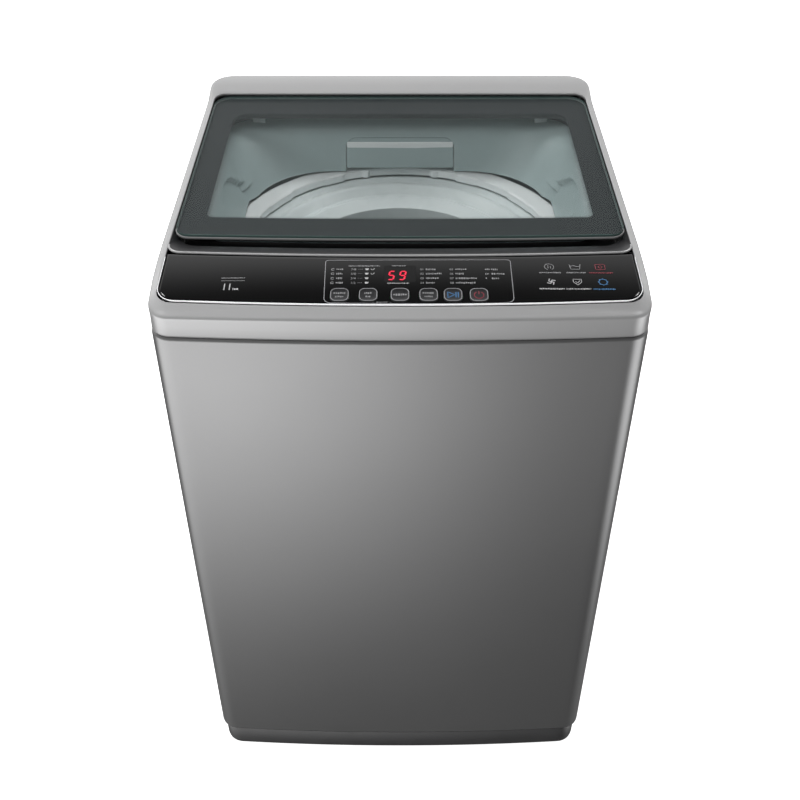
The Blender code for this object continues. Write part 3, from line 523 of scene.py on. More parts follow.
def pane_glass():
    """Tinted float glass: it lets light through in part, with faint wiping marks on top."""
    n = Nodes("glass")
    wipe = n.noise(1.0, 3.0, 0.5, at=n.scaled(5.0, 14.0, 5.0))
    tint = n.blend(n.span(wipe, 0.3, 0.8, 0.0, 1.0), (0.013, 0.026, 0.026), (0.017, 0.030, 0.030))
    made = n.set(base_color=tint, roughness=n.span(wipe, 0.3, 0.8, 0.034, 0.042), alpha=0.15, ior=1.7)
    made.surface_render_method = "BLENDED"
    return made


def edge_glass():
    """The ground and polished edge of the pane, where the glass shows its green depth."""
    n = Nodes("glass_edge")
    fine = n.noise(1600.0, 3.0)
    tint = n.blend(n.span(fine, 0.3, 0.7, 0.0, 1.0), (0.045, 0.075, 0.070), (0.065, 0.100, 0.093))
    return n.set(
        base_color=tint, roughness=n.span(fine, 0.3, 0.7, 0.14, 0.26), normal=n.bump(fine, 0.1, 0.00001),
    )


def back_print():
    """Ink printed on the pane's underside, seen through the glass."""
    n = Nodes("pane_print")
    fine, slow = n.noise(1200.0, 3.0), n.noise(9.0, 3.0)
    tint = n.blend(n.span(slow, 0.3, 0.7, 0.0, 1.0), (0.0095, 0.0115, 0.0130), (0.0105, 0.0125, 0.0140))
    return n.set(base_color=tint, roughness=n.span(fine, 0.3, 0.7, 0.5, 0.6), specular_ior_level=0.2)


PANE = pane_glass()
PANE_EDGE = edge_glass()
PRINT = back_print()


# ---------------------------------------------------------------- cabinet, rear panel, base and feet
def grid_rim(grid):
    """The vertices round a grid, once about."""
    return grid[0] + [row[-1] for row in grid[1:]] + grid[-1][-2::-1] + [row[0] for row in grid[-2:0:-1]]


def sew(bm, rim, other):
    """Joins two rims of equally many vertices with a band of faces."""
    for i, j in zip(range(len(rim)), [*range(1, len(rim)), 0]):
        bm.faces.new((rim[i], rim[j], other[j], other[i]))


def wrap_path(inset):
    """The cabinet sheet's plan line from the left rear flange round the front to the right one."""
    flange_in, flange_y, turn, sheet = 0.268, 0.2992, 0.014, 0.0008
    half = HALF_WIDTH - inset
    loop = outline(half, FRONT_Y + inset, 0.30, 0.028 - inset, 0.014)
    ahead = [p for p in loop if p[1] < 0.26 and p[0] > 1e-6]
    right = sorted(ahead, key=lambda p: math.atan2(p[1], p[0]))
    depth = min(inset, sheet)
    right += arc(HALF_WIDTH - turn, flange_y - turn, turn - inset, 0, 90, 8)
    right.append((flange_in, flange_y - depth))
    left = [(-x, y) for x, y in reversed(right)]
    return left + [(0.0, FRONT_Y + inset)] + right


def build_cabinet():
    low, high = BASE_TOP_Z + 0.0008, CABINET_TOP_Z
    outside = [(0.0034, low), (0.0010, low), (0.0003, low + 0.0006), (0.0, low + 0.0018)]
    outside += [
        (0.0, high - 0.0048), (0.0004, high - 0.0026), (0.0014, high - 0.0010), (0.0030, high - 0.0002),
    ]
    outside += [(0.0070, high), (0.0070, high - 0.0008), (0.0034, high - 0.0012), (0.0020, high - 0.0020)]
    outside += [
        (0.0008, high - 0.0052), (0.0008, low + 0.0018), (0.0014, low + 0.0009), (0.0034, low + 0.0008),
    ]
    paths = [[(x, y, z) for x, y in wrap_path(inset)] for inset, z in outside]
    shell = skin([[path[i] for path in paths] for i in range(len(paths[0]))])
    gussets = []
    for sx in (-1, 1):
        for sy in (-1, 1):
            near, far = 0.216, (0.2985 if sy > 0 else 0.2750)
            edge_x = HALF_WIDTH - 0.0012
            plan = [
                (near, near),
                (edge_x, near),
                (edge_x, near + 0.030),
                (near + 0.042, min(far, 0.266)),
                (near, 0.262),
            ]
            plate = slab([(sx * x, sy * y) for x, y in plan], 0.8262, 0.8290, 0.0004)
            cup = turned(
                [(0.0058, 0.8240), (0.0120, 0.8240), (0.0105, 0.8292), (0.0058, 0.8292)],
                24,
                (sx * ROD_X, sy * ROD_X),
            )
            gussets += [plate, cup]
    piece("cabinet_wrap", shell, "cabinet", PAINT, ["cabinet_shell"], sharp=40)
    piece("corner_gussets", merged(*gussets), "cabinet", ZINC)


def build_rear_panel():
    """A pressed sheet with a raised field, ribs, a service hatch and its screws."""
    half, low, high = 0.2870, BASE_TOP_Z + 0.0008, CABINET_TOP_Z
    edge_y, inner_y = 0.3004, 0.2996
    columns, rows = 116, 160

    def rise(x, z):
        field = ease(half - abs(x), 0.026, 0.034) * ease(z - low, 0.048, 0.056) * ease(high - z, 0.038, 0.046)
        up = REAR_Y - edge_y
        for centre in (0.70, 0.60, 0.50, 0.40, 0.30):
            rib = (1 - ease(abs(z - centre), 0.007, 0.013)) * (1 - ease(abs(x), 0.205, 0.215))
            field -= 0.75 * rib
        hatch = (1 - ease(abs(x - 0.02), 0.095, 0.100)) * (1 - ease(abs(z - 0.165), 0.055, 0.060))
        return up * max(0.0, field - 0.6 * hatch)

    bm = bmesh.new()
    grids = []
    for y0 in (edge_y, inner_y):
        grid = []
        for j in range(rows + 1):
            z = low + (high - low) * j / rows
            grid.append([])
            for i in range(columns + 1):
                x = half * (2 * i / columns - 1)
                grid[-1].append(bm.verts.new((x, y0 + rise(x, z), z)))
        grids.append(grid)
    for grid, flip in zip(grids, (True, False)):
        for j in range(rows):
            for i in range(columns):
                face = [grid[j][i], grid[j][i + 1], grid[j + 1][i + 1], grid[j + 1][i]]
                bm.faces.new(face[::-1] if flip else face)
    sew(bm, *(grid_rim(grid) for grid in grids))
    panel = piece("rear_panel_sheet", bm, "cabinet", ZINC, ["rear_panel"], sharp=50)
    for (x, z), r, steps in (((DRAIN_AT[0], DRAIN_Z), 0.0148, 40), (GLAND_AT, 0.0096, 32)):
        cut(panel, lying(drill(r, 0.02, steps), (x, 0.302, z), BACKWARDS))
    spots = [(sx * 0.277, low + 0.03 + 0.1475 * i) for sx in (-1, 1) for i in range(6)]
    spots += [(x, high - 0.018) for x in (-0.14, 0.0, 0.14)] + [(x, low + 0.016) for x in (-0.2, -0.03, 0.12)]
    screws = [screw_head((x, edge_y, z), BACKWARDS, 0.0042) for x, z in spots]
    piece("rear_screws", merged(*screws), "cabinet", ZINC)


def screw_head(at, axis, r):
    """A pan head with a cross recess."""
    head = [
        (0.0, 0.0),
        (r * 1.25, 0.0),
        (r * 1.25, r * 0.14),
        (r, r * 0.16),
        (r * 0.97, r * 0.34),
        (r * 0.72, r * 0.50),
        (0.0, r * 0.55),
    ]
    bm = turned(head, 24, solid=True)
    top = [v for v in bm.verts if v.co.z > r * 0.3]
    for v in top:
        across = min(abs(v.co.x), abs(v.co.y))
        if across < r * 0.16 and v.co.xy.length < r * 0.8:
            v.co.z -= r * 0.22
    return lying(bm, at, axis)


def build_base():
    """The moulded base: an outer wall with a soft lower edge, a step under the cabinet, ribbed bosses."""
    low, high = BASE_BOTTOM_Z, BASE_TOP_Z
    steps = [
        (0.0120, high - 0.0042), (0.0120, high), (0.0062, high), (0.0056, high - 0.0006),
        (0.0055, high - 0.0018),
        (0.0036, high - 0.0030), (0.0030, high - 0.0044), (0.0028, low + 0.0180), (0.0030, low + 0.0070),
        (0.0036, low + 0.0030), (0.0048, low + 0.0009), (0.0066, low), (0.0118, low), (0.0122, low + 0.0010),
        (0.0122, high - 0.0052),
    ]
    loops = []
    for inset, z in steps:
        loops.append(ring(outline(HALF_WIDTH - inset - 0.0016, FRONT_Y + inset, REAR_Y - inset,
                                  0.030 - inset * 0.6, 0.016), z))
    shell = skin(loops, closed=True)
    parts = [shell]
    for x, y in FEET.values():
        boss = [
            (0.0060, low),
            (0.0180, low),
            (0.0195, low + 0.002),
            (0.0205, high - 0.0044),
            (0.0060, high - 0.0044),
        ]
        parts.append(turned(boss, 32, (x, y)))
        for k in range(6):
            a = math.radians(60 * k + 15)
            fin = box_mesh((0.017, -0.0011, low + 0.004), (0.034, 0.0011, high - 0.0050), 0.0004)
            fin.transform(Matrix.Translation((x, y, 0)) @ Matrix.Rotation(a, 4, "Z"))
            parts.append(fin)
    shelf_out = outline(HALF_WIDTH - 0.0119, FRONT_Y + 0.0119, REAR_Y - 0.0119, 0.020, 0.012)
    shelf_in = outline(HALF_WIDTH - 0.050, FRONT_Y + 0.062, REAR_Y - 0.050, 0.030, 0.030, 0.007)
    shelf = [
        ring(p, z) for p,
        z in ((shelf_out, high), (shelf_in, high), (shelf_in, high - 0.004), (shelf_out, high - 0.004))
    ]
    parts.append(skin(shelf, closed=True))
    piece("plinth", merged(*parts), "cabinet", DARK, ["base_frame"])


def hexagon(r_low, r_high, depth, at, edge):
    """A hexagonal nut or bolt head with eased edges."""
    bm = bmesh.new()
    place = Matrix.Translation(at)
    bmesh.ops.create_cone(
        bm, cap_ends=True, segments=6, radius1=r_low, radius2=r_high, depth=depth, matrix=place,
    )
    bmesh.ops.bevel(bm, geom=bm.edges[:], offset=edge, segments=2, affect="EDGES")
    return bm


def build_feet():
    """Levelling feet: ribbed rubber pad, threaded stem and lock nut."""
    for name, (x, y) in FEET.items():
        body = name.replace("foot_front", "front_foot") if y < 0 else "cabinet"
        pad = [(0, 0), (0.0180, 0), (0.0196, 0.0008), (0.0205, 0.0024), (0.0205, 0.0048), (0.0196, 0.0054)]
        pad += [
            (0.0196, 0.0060),
            (0.0205, 0.0066),
            (0.0203, 0.0086),
            (0.0190, 0.0100),
            (0.0130, 0.0108),
            (0, 0.0108),
        ]
        piece(f"{name}_pad", turned(pad, 48, (x, y), solid=True), body, RUBBER, [name])
        thread = [(0.0, 0.0100)]
        z, pitch = 0.0112, 0.0014
        while z < 0.0540:
            thread += [(0.0046, z), (0.0051, z + pitch / 2)]
            z += pitch
        thread += [(0.0046, 0.0552), (0.0036, 0.0560), (0.0, 0.0560)]
        stem = turned(thread, 28, (x, y), solid=True)
        nut = hexagon(0.0098, 0.0098, 0.0034, (x, y, 0.0131), 0.0004)
        piece(f"{name}_stem", merged(stem, nut), body, ZINC)


# ---------------------------------------------------------------- top cover
def rear_lift(y):
    return 0.0105 * ease(y, 0.218, 0.290)


def cover_section(p, q):
    """The cover's cross-section from the mouth's edge p out to the skirt at q: a closed loop of points."""
    p, q = Vector(p), Vector(q)
    length = (q - p).length
    front = ease(-q.y, 0.255, 0.300)
    rear = ease(q.y, 0.250, 0.296)
    drop = 0.0022 + 0.0068 * front - 0.0022 * rear
    radius = 0.0036 + 0.0008 * front + 0.0054 * rear
    crown = []
    lip = 0.0011
    for t in (0.0, 0.12, 0.3, 0.5, 0.7, 0.85, 1.0):
        s = lip + (length - radius * 0.75 - lip) * t
        point = p.lerp(q, s / length)
        plane = top_z(point.x, max(point.y, PANEL_FRONT_Y))
        share = s / length
        fall = drop * (share if front > 0.5 else share**2)
        crown.append((s, plane + rear_lift(point.y) - fall))
    z_in = crown[0][1]
    slope = (crown[-1][1] - crown[-2][1]) / (crown[-1][0] - crown[-2][0])
    side = []
    centre_z = crown[-1][1] - radius * 0.9
    start_s, start_z = crown[-1]
    # A quadratic curve leads from the crown's end to the upright wall.
    mid = (length, start_z + (length - start_s) * slope)
    end = (length, centre_z - radius * 0.35)
    for k in range(1, 8):
        a = k / 7
        s = start_s * (1 - a) ** 2 + mid[0] * 2 * a * (1 - a) + end[0] * a * a
        z = start_z * (1 - a) ** 2 + mid[1] * 2 * a * (1 - a) + end[1] * a * a
        side.append((s, z))
    low = COVER_BOTTOM_Z - 0.0010
    z_top = side[-1][1]
    lean = 0.0008 * math.atan(slope)
    skirt = [
        (length + lean, z_top * 0.6 + low * 0.4), (length, low + 0.0030), (length - 0.0004, low + 0.0008),
    ]
    skirt += [(length - 0.0012, low), (length - 0.0026, low), (length - 0.0030, low + 0.0008)]
    inside = [(length - 0.0030, z_top * 0.6 + low * 0.4), (length - 0.0032, z_top - 0.0020)]
    inside += [
        (max(length - radius - 0.0026, 0.0030), crown[-2][1] - 0.0036), (length * 0.45, crown[3][1] - 0.0032),
    ]
    inside += [(0.0012, z_in - 0.0034), (0.0004, z_in - 0.0036), (0.0, z_in - 0.0030)]
    edge = [(0.0, z_in - 0.0010), (0.0003, z_in - 0.0003)]
    loop = edge + crown + side + skirt + inside
    return [(*p.lerp(q, s / length), z) for s, z in loop]


def build_top_cover():
    mouth = outline(RAIL_IN_X, PANEL_FRONT_Y, LIP_Y, 0.020, 0.016)
    outer = outline(HALF_WIDTH - 0.0008, FRONT_Y + 0.0008, REAR_Y, 0.028, 0.038)
    rings = [cover_section(p, q) for p, q in zip(mouth, outer)]
    cover = piece(
        "cover_shell", skin(rings, closed=True), "cabinet", SILVER, ["top_cover"], sharp=50,
    )
    inlet_x, inlet_z = INLET_AT
    cut(cover, lying(drill(0.0152, 0.03, 48), (inlet_x, 0.305, inlet_z), BACKWARDS))

    # The bead between gutter and panel sweeps up into the rails.
    half = RAIL_IN_X - 0.0006
    loop = outline(half, BEAD_Y, 0.2, 0.017, 0.02, BEAD_BOW)
    path = [p for p in loop if p[1] < -0.176 and p[0] > 1e-6]
    path = sorted(path, key=lambda p: math.atan2(p[1] - 0.2, p[0]))
    path = [(-x, y) for x, y in reversed(path)] + [(0.0, BEAD_Y)] + path
    points = [(x, y, lid_z(y) - 0.0006) for x, y in path]
    piece("panel_bead", tube(points, 0.0016, 14, squash=0.8), "cabinet", SILVER)


def build_gutter():
    """The black gutter round the lid, with the ramp down from the bead and the finger pocket in front."""
    rims = [
        # half width, front, back, both radii, drop below the lid plane at the front and at the rear
        (0.2892, BEAD_Y + 0.0014, 0.2520, 0.0190, 0.030, 0.0014, 0.0154),
        (0.2886, BEAD_Y + 0.0040, 0.2516, 0.0200, 0.030, 0.0022, 0.0162),
        (0.2880, -0.1900, 0.2512, 0.0240, 0.029, 0.0072, 0.0188),
        (0.2868, -0.1722, 0.2505, 0.0300, 0.028, 0.0128, 0.0230),
        (0.2862, -0.1706, 0.2500, 0.0300, 0.028, 0.0140, 0.0240),
        (0.2858, -0.1698, 0.2495, 0.0300, 0.028, 0.0170, 0.0260),
        (0.2850, -0.1690, 0.2490, 0.0300, 0.028, 0.0340, 0.0350),
        (0.2835, -0.1670, 0.2475, 0.0300, 0.030, 0.0358, 0.0358),
        (0.2740, -0.1400, 0.2395, 0.0340, 0.050, 0.0360, 0.0360),
        (0.2722, -0.1352, 0.2370, 0.0400, 0.056, 0.0350, 0.0350),
        (0.2706, -0.1326, 0.2346, 0.0425, 0.0585, 0.0304, 0.0304),
    ]

    def height(front, rear):
        return lambda x, y: lid_z(y) - front - (rear - front) * ease(y, 0.20, 0.245)

    top = [ring(outline(w, f, b, rf, rb, 0.0078), height(d0, d1)) for w, f, b, rf, rb, d0, d1 in rims]
    under = []
    for w, f, b, rf, rb, d0, d1 in rims:
        out = 0.0014 if 0.013 < d0 < 0.035 else 0.0
        under.append(
            ring(outline(w + out, f - out, b + out, rf, rb, 0.0078), height(d0 + 0.0020, d1 + 0.0020))
        )
    piece(
        "lid_gutter",
        skin(top + under[::-1], closed=True),
        "cabinet",
        MATTE,
        ["lid_surround"],
        sharp=50,
    )


# ---------------------------------------------------------------- inner collar and drawer
COLLAR = [
    # half width, front, back, front radius, rear radius, bow, height at the rear, height at the front
    (0.2680, -0.1300, 0.2320, 0.040, 0.056, 0.0070, 0.8996, 0.8838),
    (0.2560, -0.1306, 0.2190, 0.055, 0.080, 0.0060, 0.8905, 0.8780),
    (0.2480, -0.1310, 0.2130, 0.068, 0.098, 0.0050, 0.8700, 0.8700),
    (0.2220, -0.1320, 0.2045, 0.095, 0.115, 0.0030, 0.8218, 0.8218),
]


def collar_levels():
    """The collar's levels from the rim down, rounded where the ledge turns into the wall."""
    made = [COLLAR[0]]
    for before, here, after in zip(COLLAR, COLLAR[1:], COLLAR[2:]):
        start = [h + (b - h) * 0.42 for b, h in zip(before, here)]
        end = [h + (a - h) * 0.42 for a, h in zip(after, here)]
        for k in range(7):
            t = k / 6
            made.append(
                tuple(s * (1 - t) ** 2 + h * 2 * t * (1 - t) + e * t * t for s, h, e in zip(start, here, end))
            )
    last = made[-1]
    for k in range(1, 19):
        made.append(tuple(a + (b - a) * k / 18 for a, b in zip(last, COLLAR[-1])))
    return made


def collar_height(rear, front):
    return lambda x, y: front + (rear - front) * min(1.0, max(0.0, (y + 0.13) / 0.362))


def wall_y(z):
    """How far back the collar's rear wall is at a height, over the drawer."""
    levels = collar_levels()
    for upper, lower in zip(levels, levels[1:]):
        if lower[6] <= z <= upper[6]:
            return lower[2] + (upper[2] - lower[2]) * (z - lower[6]) / (upper[6] - lower[6])
    return levels[-1][2]


def well(x, y, z):
    """How deep the arched wells in the collar's side walls are at a point."""
    if abs(x) < 0.15:
        return 0.0
    top = 0.8795 - 0.0440 * abs((y - 0.042) / 0.074) ** 2.6
    into = min(1.0, max(0.0, (top - z) / 0.0050))
    across = min(1.0, max(0.0, (0.074 - abs(y - 0.042)) / 0.0050))
    return 0.0085 * ease(min(into, across), 0.0, 1.0)


def build_collar():
    wall = 0.0020
    inner, outer = [], []
    levels = collar_levels()
    for k, (half, front, back, r_front, r_back, bow, rear_z, front_z) in enumerate(levels):
        loop = ring(outline(half, front, back, r_front, r_back, bow, 72), collar_height(rear_z, front_z))
        inner.append([(x + math.copysign(well(x, y, z), x), y, z) for x, y, z in loop])
        down = 0.0 if k == len(levels) - 1 else wall
        shape = outline(half + wall, front - wall, back + wall, r_front + wall, r_back + wall, bow, 72)
        loop = ring(shape, collar_height(rear_z - down, front_z - down))
        outer.append([(x + math.copysign(well(x, y, z), x), y, z) for x, y, z in loop])
    collar = piece("inner_collar_wall", skin(
        inner + outer[::-1], closed=True,
    ), "cabinet", WALL,
                   ["inner_collar"], sharp=60)
    x0, z0, z1, r = 0.0860, 0.8150, 0.8746, 0.0170
    plan = [(x0, z0), *arc(x0 - r, z1 - r, r, 0, 90, 8), *arc(-x0 + r, z1 - r, r, 90, 180, 8), (-x0, z0)]
    cut(collar, skin([[(x, y, z) for x, z in plan] for y in (0.17, 0.235)]))

    # Hinge ears stand on the rear of the rim.
    ears = []
    for side in (-1, 1):
        x = side * HINGE_X
        profile = arc(HINGE_Y, HINGE_Z, 0.0034, -30, 180, 14)
        profile += [(0.2225, 0.9050), (0.2235, 0.8925), (0.2290, 0.8950), (0.2262, 0.9030), (0.2270, 0.9080)]
        levels_x = ((-0.0095, 0.0006), (-0.0089, 0.0), (0.0089, 0.0), (0.0095, 0.0006))
        cy = sum(y for y, _ in profile) / len(profile)
        cz = sum(z for _, z in profile) / len(profile)
        rings = []
        for dx, shrink in levels_x:
            k = 1 - shrink / 0.010
            rings.append([(x + dx, cy + (y - cy) * k, cz + (z - cz) * k) for y, z in profile])
        ears.append(skin(rings))
    piece("hinge_ears", merged(*ears), "cabinet", GREY)


def build_drawer():
    low, high = 0.8270, 0.8735
    r, x1 = 0.0160, 0.0848
    plan = [
        (x1, low), *arc(x1 - r, high - r, r, 0, 90, 8), *arc(-x1 + r, high - r, r, 90, 180, 8), (-x1, low),
    ]
    cz = (low + high) / 2

    def face(shrink, out):
        made = []
        for x, z in plan:
            zz = cz + (z - cz) * (1 - shrink / 0.023)
            made.append((x * (1 - shrink / x1), wall_y(z) + 0.0016 - out, zz))
        return made

    front = skin([face(0.0004, -0.0040), face(0.0, -0.0036), face(0.0, 0.0002), face(0.0004, 0.0007),
                  face(0.0012, 0.0009)])
    back_y = 0.2838
    tray = box_mesh((-0.0842, 0.2120, low), (0.0842, back_y, high - 0.0060), 0.0020, 3)
    drawer = piece("drawer_tray", tray, "drawer", WHITE, ["detergent_drawer"])
    pockets = [
        box_mesh((-0.0820, 0.2150, low + 0.0022), (0.0180, back_y - 0.0022, high + 0.01), 0.003, 2),
        box_mesh((0.0205, 0.2150, low + 0.0022), (0.0820, back_y - 0.0022, high + 0.01), 0.003, 2),
    ]
    cut(drawer, *pockets)
    piece("drawer_front", front, "drawer", WALL)

    z0, z1 = low - 0.0044, high + 0.0046
    shell = box_mesh((-0.0935, 0.2240, z0), (0.0935, 0.2900, z1), 0.0015, 2)
    housing = piece("drawer_case", shell, "cabinet", WHITE, ["drawer_housing"])
    cut(housing, box_mesh((-0.0857, 0.20, low - 0.0010), (0.0857, 0.2848, high + 0.0010), 0.001, 1))


# ---------------------------------------------------------------- control panel
BUTTONS = {
    "process": -0.0715, "level": -0.0376, "program": 0.0, "speed": 0.0338, "start": 0.0627, "power": 0.0934,
}
BUTTON_Y = -0.2815
LIFT = 0.00025


def build_fascia():
    """The glossy plate as a fine grid, so that its crown shades smoothly."""
    half, columns, rows = RAIL_IN_X - 0.0021, 150, 26
    r, front = 0.0225, PANEL_FRONT_Y + 0.0022
    top, low = [], []
    for i in range(columns + 1):
        x = half * math.sin(math.pi / 2 * (2 * i / columns - 1))
        into = max(0.0, abs(x) - (half - r))
        y0 = front + 0.010 * (x / half) ** 2 + r - math.sqrt(max(0.0, r * r - into * into))
        y1 = bead_y(x) - 0.0030
        line = []
        for k in range(rows + 1):
            t = k / rows
            y = y0 + (y1 - y0) * (t * t * (3 - 2 * t) * 0.4 + t * 0.6)
            near = min(y - y0, y1 - y, half - abs(x))
            fall = 0.0010 * (1 - ease(near, 0.0, 0.0016))
            line.append((x, y, panel_z(x, y) - 0.0002 - fall))
        top.append(line)
        low.append([(x, y, panel_z(x, y) - 0.0034) for x, y, _ in line])
    bm = bmesh.new()
    upper = [[bm.verts.new(p) for p in line] for line in top]
    under = [[bm.verts.new(p) for p in line] for line in low]
    for grid, flip in ((upper, False), (under, True)):
        for a, b in zip(grid, grid[1:]):
            for k in range(rows):
                face = (a[k], b[k], b[k + 1], a[k + 1])
                bm.faces.new(face[::-1] if flip else face)
    sew(bm, grid_rim(upper), grid_rim(under))
    plate = piece("fascia_plate", bm, "cabinet", GLOSS, ["control_fascia"], sharp=40)
    cutters = []
    for x in BUTTONS.values():
        loop = rounded(0.0119, 0.0119, 0.0076, 6, (x, BUTTON_Y))
        cutters.append(skin([[(px, py, panel_z(px, py) + dz) for px, py in loop] for dz in (-0.006, 0.004)]))
    window = rounded(0.01905, 0.01505, 0.0019, 4, (0.0, -0.2435))
    cutters.append(skin([[(px, py, panel_z(px, py) + dz) for px, py in window] for dz in (-0.006, 0.004)]))
    cut(plate, *cutters)

    # A trim line frames the fascia's front and sides; its near-white colour is a painted highlight along the
    # panel's edge.
    loop = outline(RAIL_IN_X - 0.0006, PANEL_FRONT_Y + 0.0005, 0.2, 0.0240, 0.02)
    ahead = [p for p in loop if p[0] > 1e-6 and p[1] < min(-0.206, bead_y(p[0]) - 0.002)]
    right = sorted(ahead, key=lambda p: math.atan2(p[1] - 0.2, p[0]))
    path = [(-x, y) for x, y in reversed(right)] + [(0.0, PANEL_FRONT_Y + 0.0005)] + right
    points = [(x, y, panel_z(x, y) + 0.0006) for x, y in path]

    # The line thins towards its ends, where the painted highlight fades.
    def thick(t):
        return 0.0005 + 0.0006 * ease(min(t, 1 - t), 0.10, 0.24)

    piece("fascia_edge_highlight", tube(points, thick, 14, squash=0.75), "cabinet", RIM_HIGHLIGHT, ["fascia_trim"])


def ribbon(path, width, closed=False):
    """A flat printed line on the panel."""
    bm = bmesh.new()
    corners = [Vector((*p, 0.0)) for p in path]
    points = []
    for a, b in zip(corners, corners[1:] + corners[:1]) if closed else zip(corners, corners[1:]):
        pieces = max(1, math.ceil((b - a).length / 0.003))
        points += [a.lerp(b, k / pieces) for k in range(pieces)]
    if not closed:
        points.append(corners[-1])
    count = len(points)
    sides = []
    for i, p in enumerate(points):
        ahead = points[(i + 1) % count] if closed or i + 1 < count else p
        behind = points[i - 1] if closed or i else p
        along = (ahead - behind).normalized()
        across = Vector((-along.y, along.x, 0)) * width / 2
        row = []
        for q in (p - across, p + across):
            row.append(bm.verts.new((q.x, q.y, panel_z(q.x, q.y) + LIFT)))
        sides.append(row)
    for i in range(count if closed else count - 1):
        a, b = sides[i], sides[(i + 1) % count]
        bm.faces.new((a[0], b[0], b[1], a[1]))
    return bm


def patch(points, lift=LIFT):
    bm = bmesh.new()
    bm.faces.new([bm.verts.new((x, y, panel_z(x, y) + lift)) for x, y in points])
    return bm


def bar(x0, x1, y, height):
    """A row of small printed dashes standing for a word."""
    dashes, x = [], x0
    while x < x1 - 0.0004:
        end = min(x1, x + height * random.choice((0.30, 0.45, 0.60)))
        low = y - height / 2 * random.choice((0.6, 1.0))
        high = y + height / 2 * random.choice((0.7, 1.0))
        dashes.append(patch([(x, low), (end, low), (end, high), (x, high)]))
        x = end + height * 0.26
    return merged(*dashes)


def numerals(text, x, y, height, stretch=1.0):
    """Printed figures, their lower left corner at (x, y)."""
    curve = bpy.data.curves.new("figures", "FONT")
    curve.body = text
    curve.size = height * 1.38
    curve.resolution_u = 3
    obj = bpy.data.objects.new("figures", curve)
    bpy.context.scene.collection.objects.link(obj)
    bpy.context.view_layer.update()
    mesh = bpy.data.meshes.new_from_object(obj.evaluated_get(bpy.context.evaluated_depsgraph_get()))
    bm = bmesh.new()
    bm.from_mesh(mesh)
    for v in bm.verts:
        px, py = x + v.co.x * stretch, y + v.co.y
        v.co = (px, py, panel_z(px, py) + LIFT)
    bpy.data.objects.remove(obj)
    bpy.data.meshes.remove(mesh)
    return bm


SEGMENTS = {"5": "afgcd", "9": "abfgcd"}


def lit_digit(figure, x, y, width, height):
    """A seven-segment figure, leaning a little."""
    t, lean = 0.0021, 0.16
    half = height / 2
    runs = {
        "a": ((0, height), (width, height)),
        "g": ((0, half), (width, half)),
        "d": ((0, 0), (width, 0)),
        "f": ((0, half), (0, height)),
        "b": ((width, half), (width, height)),
        "c": ((width, 0), (width, half)),
    }
    parts = []
    for name in SEGMENTS[figure]:
        a, b = Vector(runs[name][0]), Vector(runs[name][1])
        along = (b - a).normalized()
        across = Vector((-along.y, along.x)) * t / 2
        a, b = a + along * t * 0.12, b - along * t * 0.12
        tip = along * t / 2
        shape = [a, a + tip - across, b - tip - across, b, b - tip + across, a + tip + across]
        parts.append(patch([(x + p.x + lean * p.y, y + p.y) for p in shape], 0.00022))
    return parts


def circle(x, y, r, steps=24, start=0, end=360):
    return arc(x, y, r, start, end, steps)


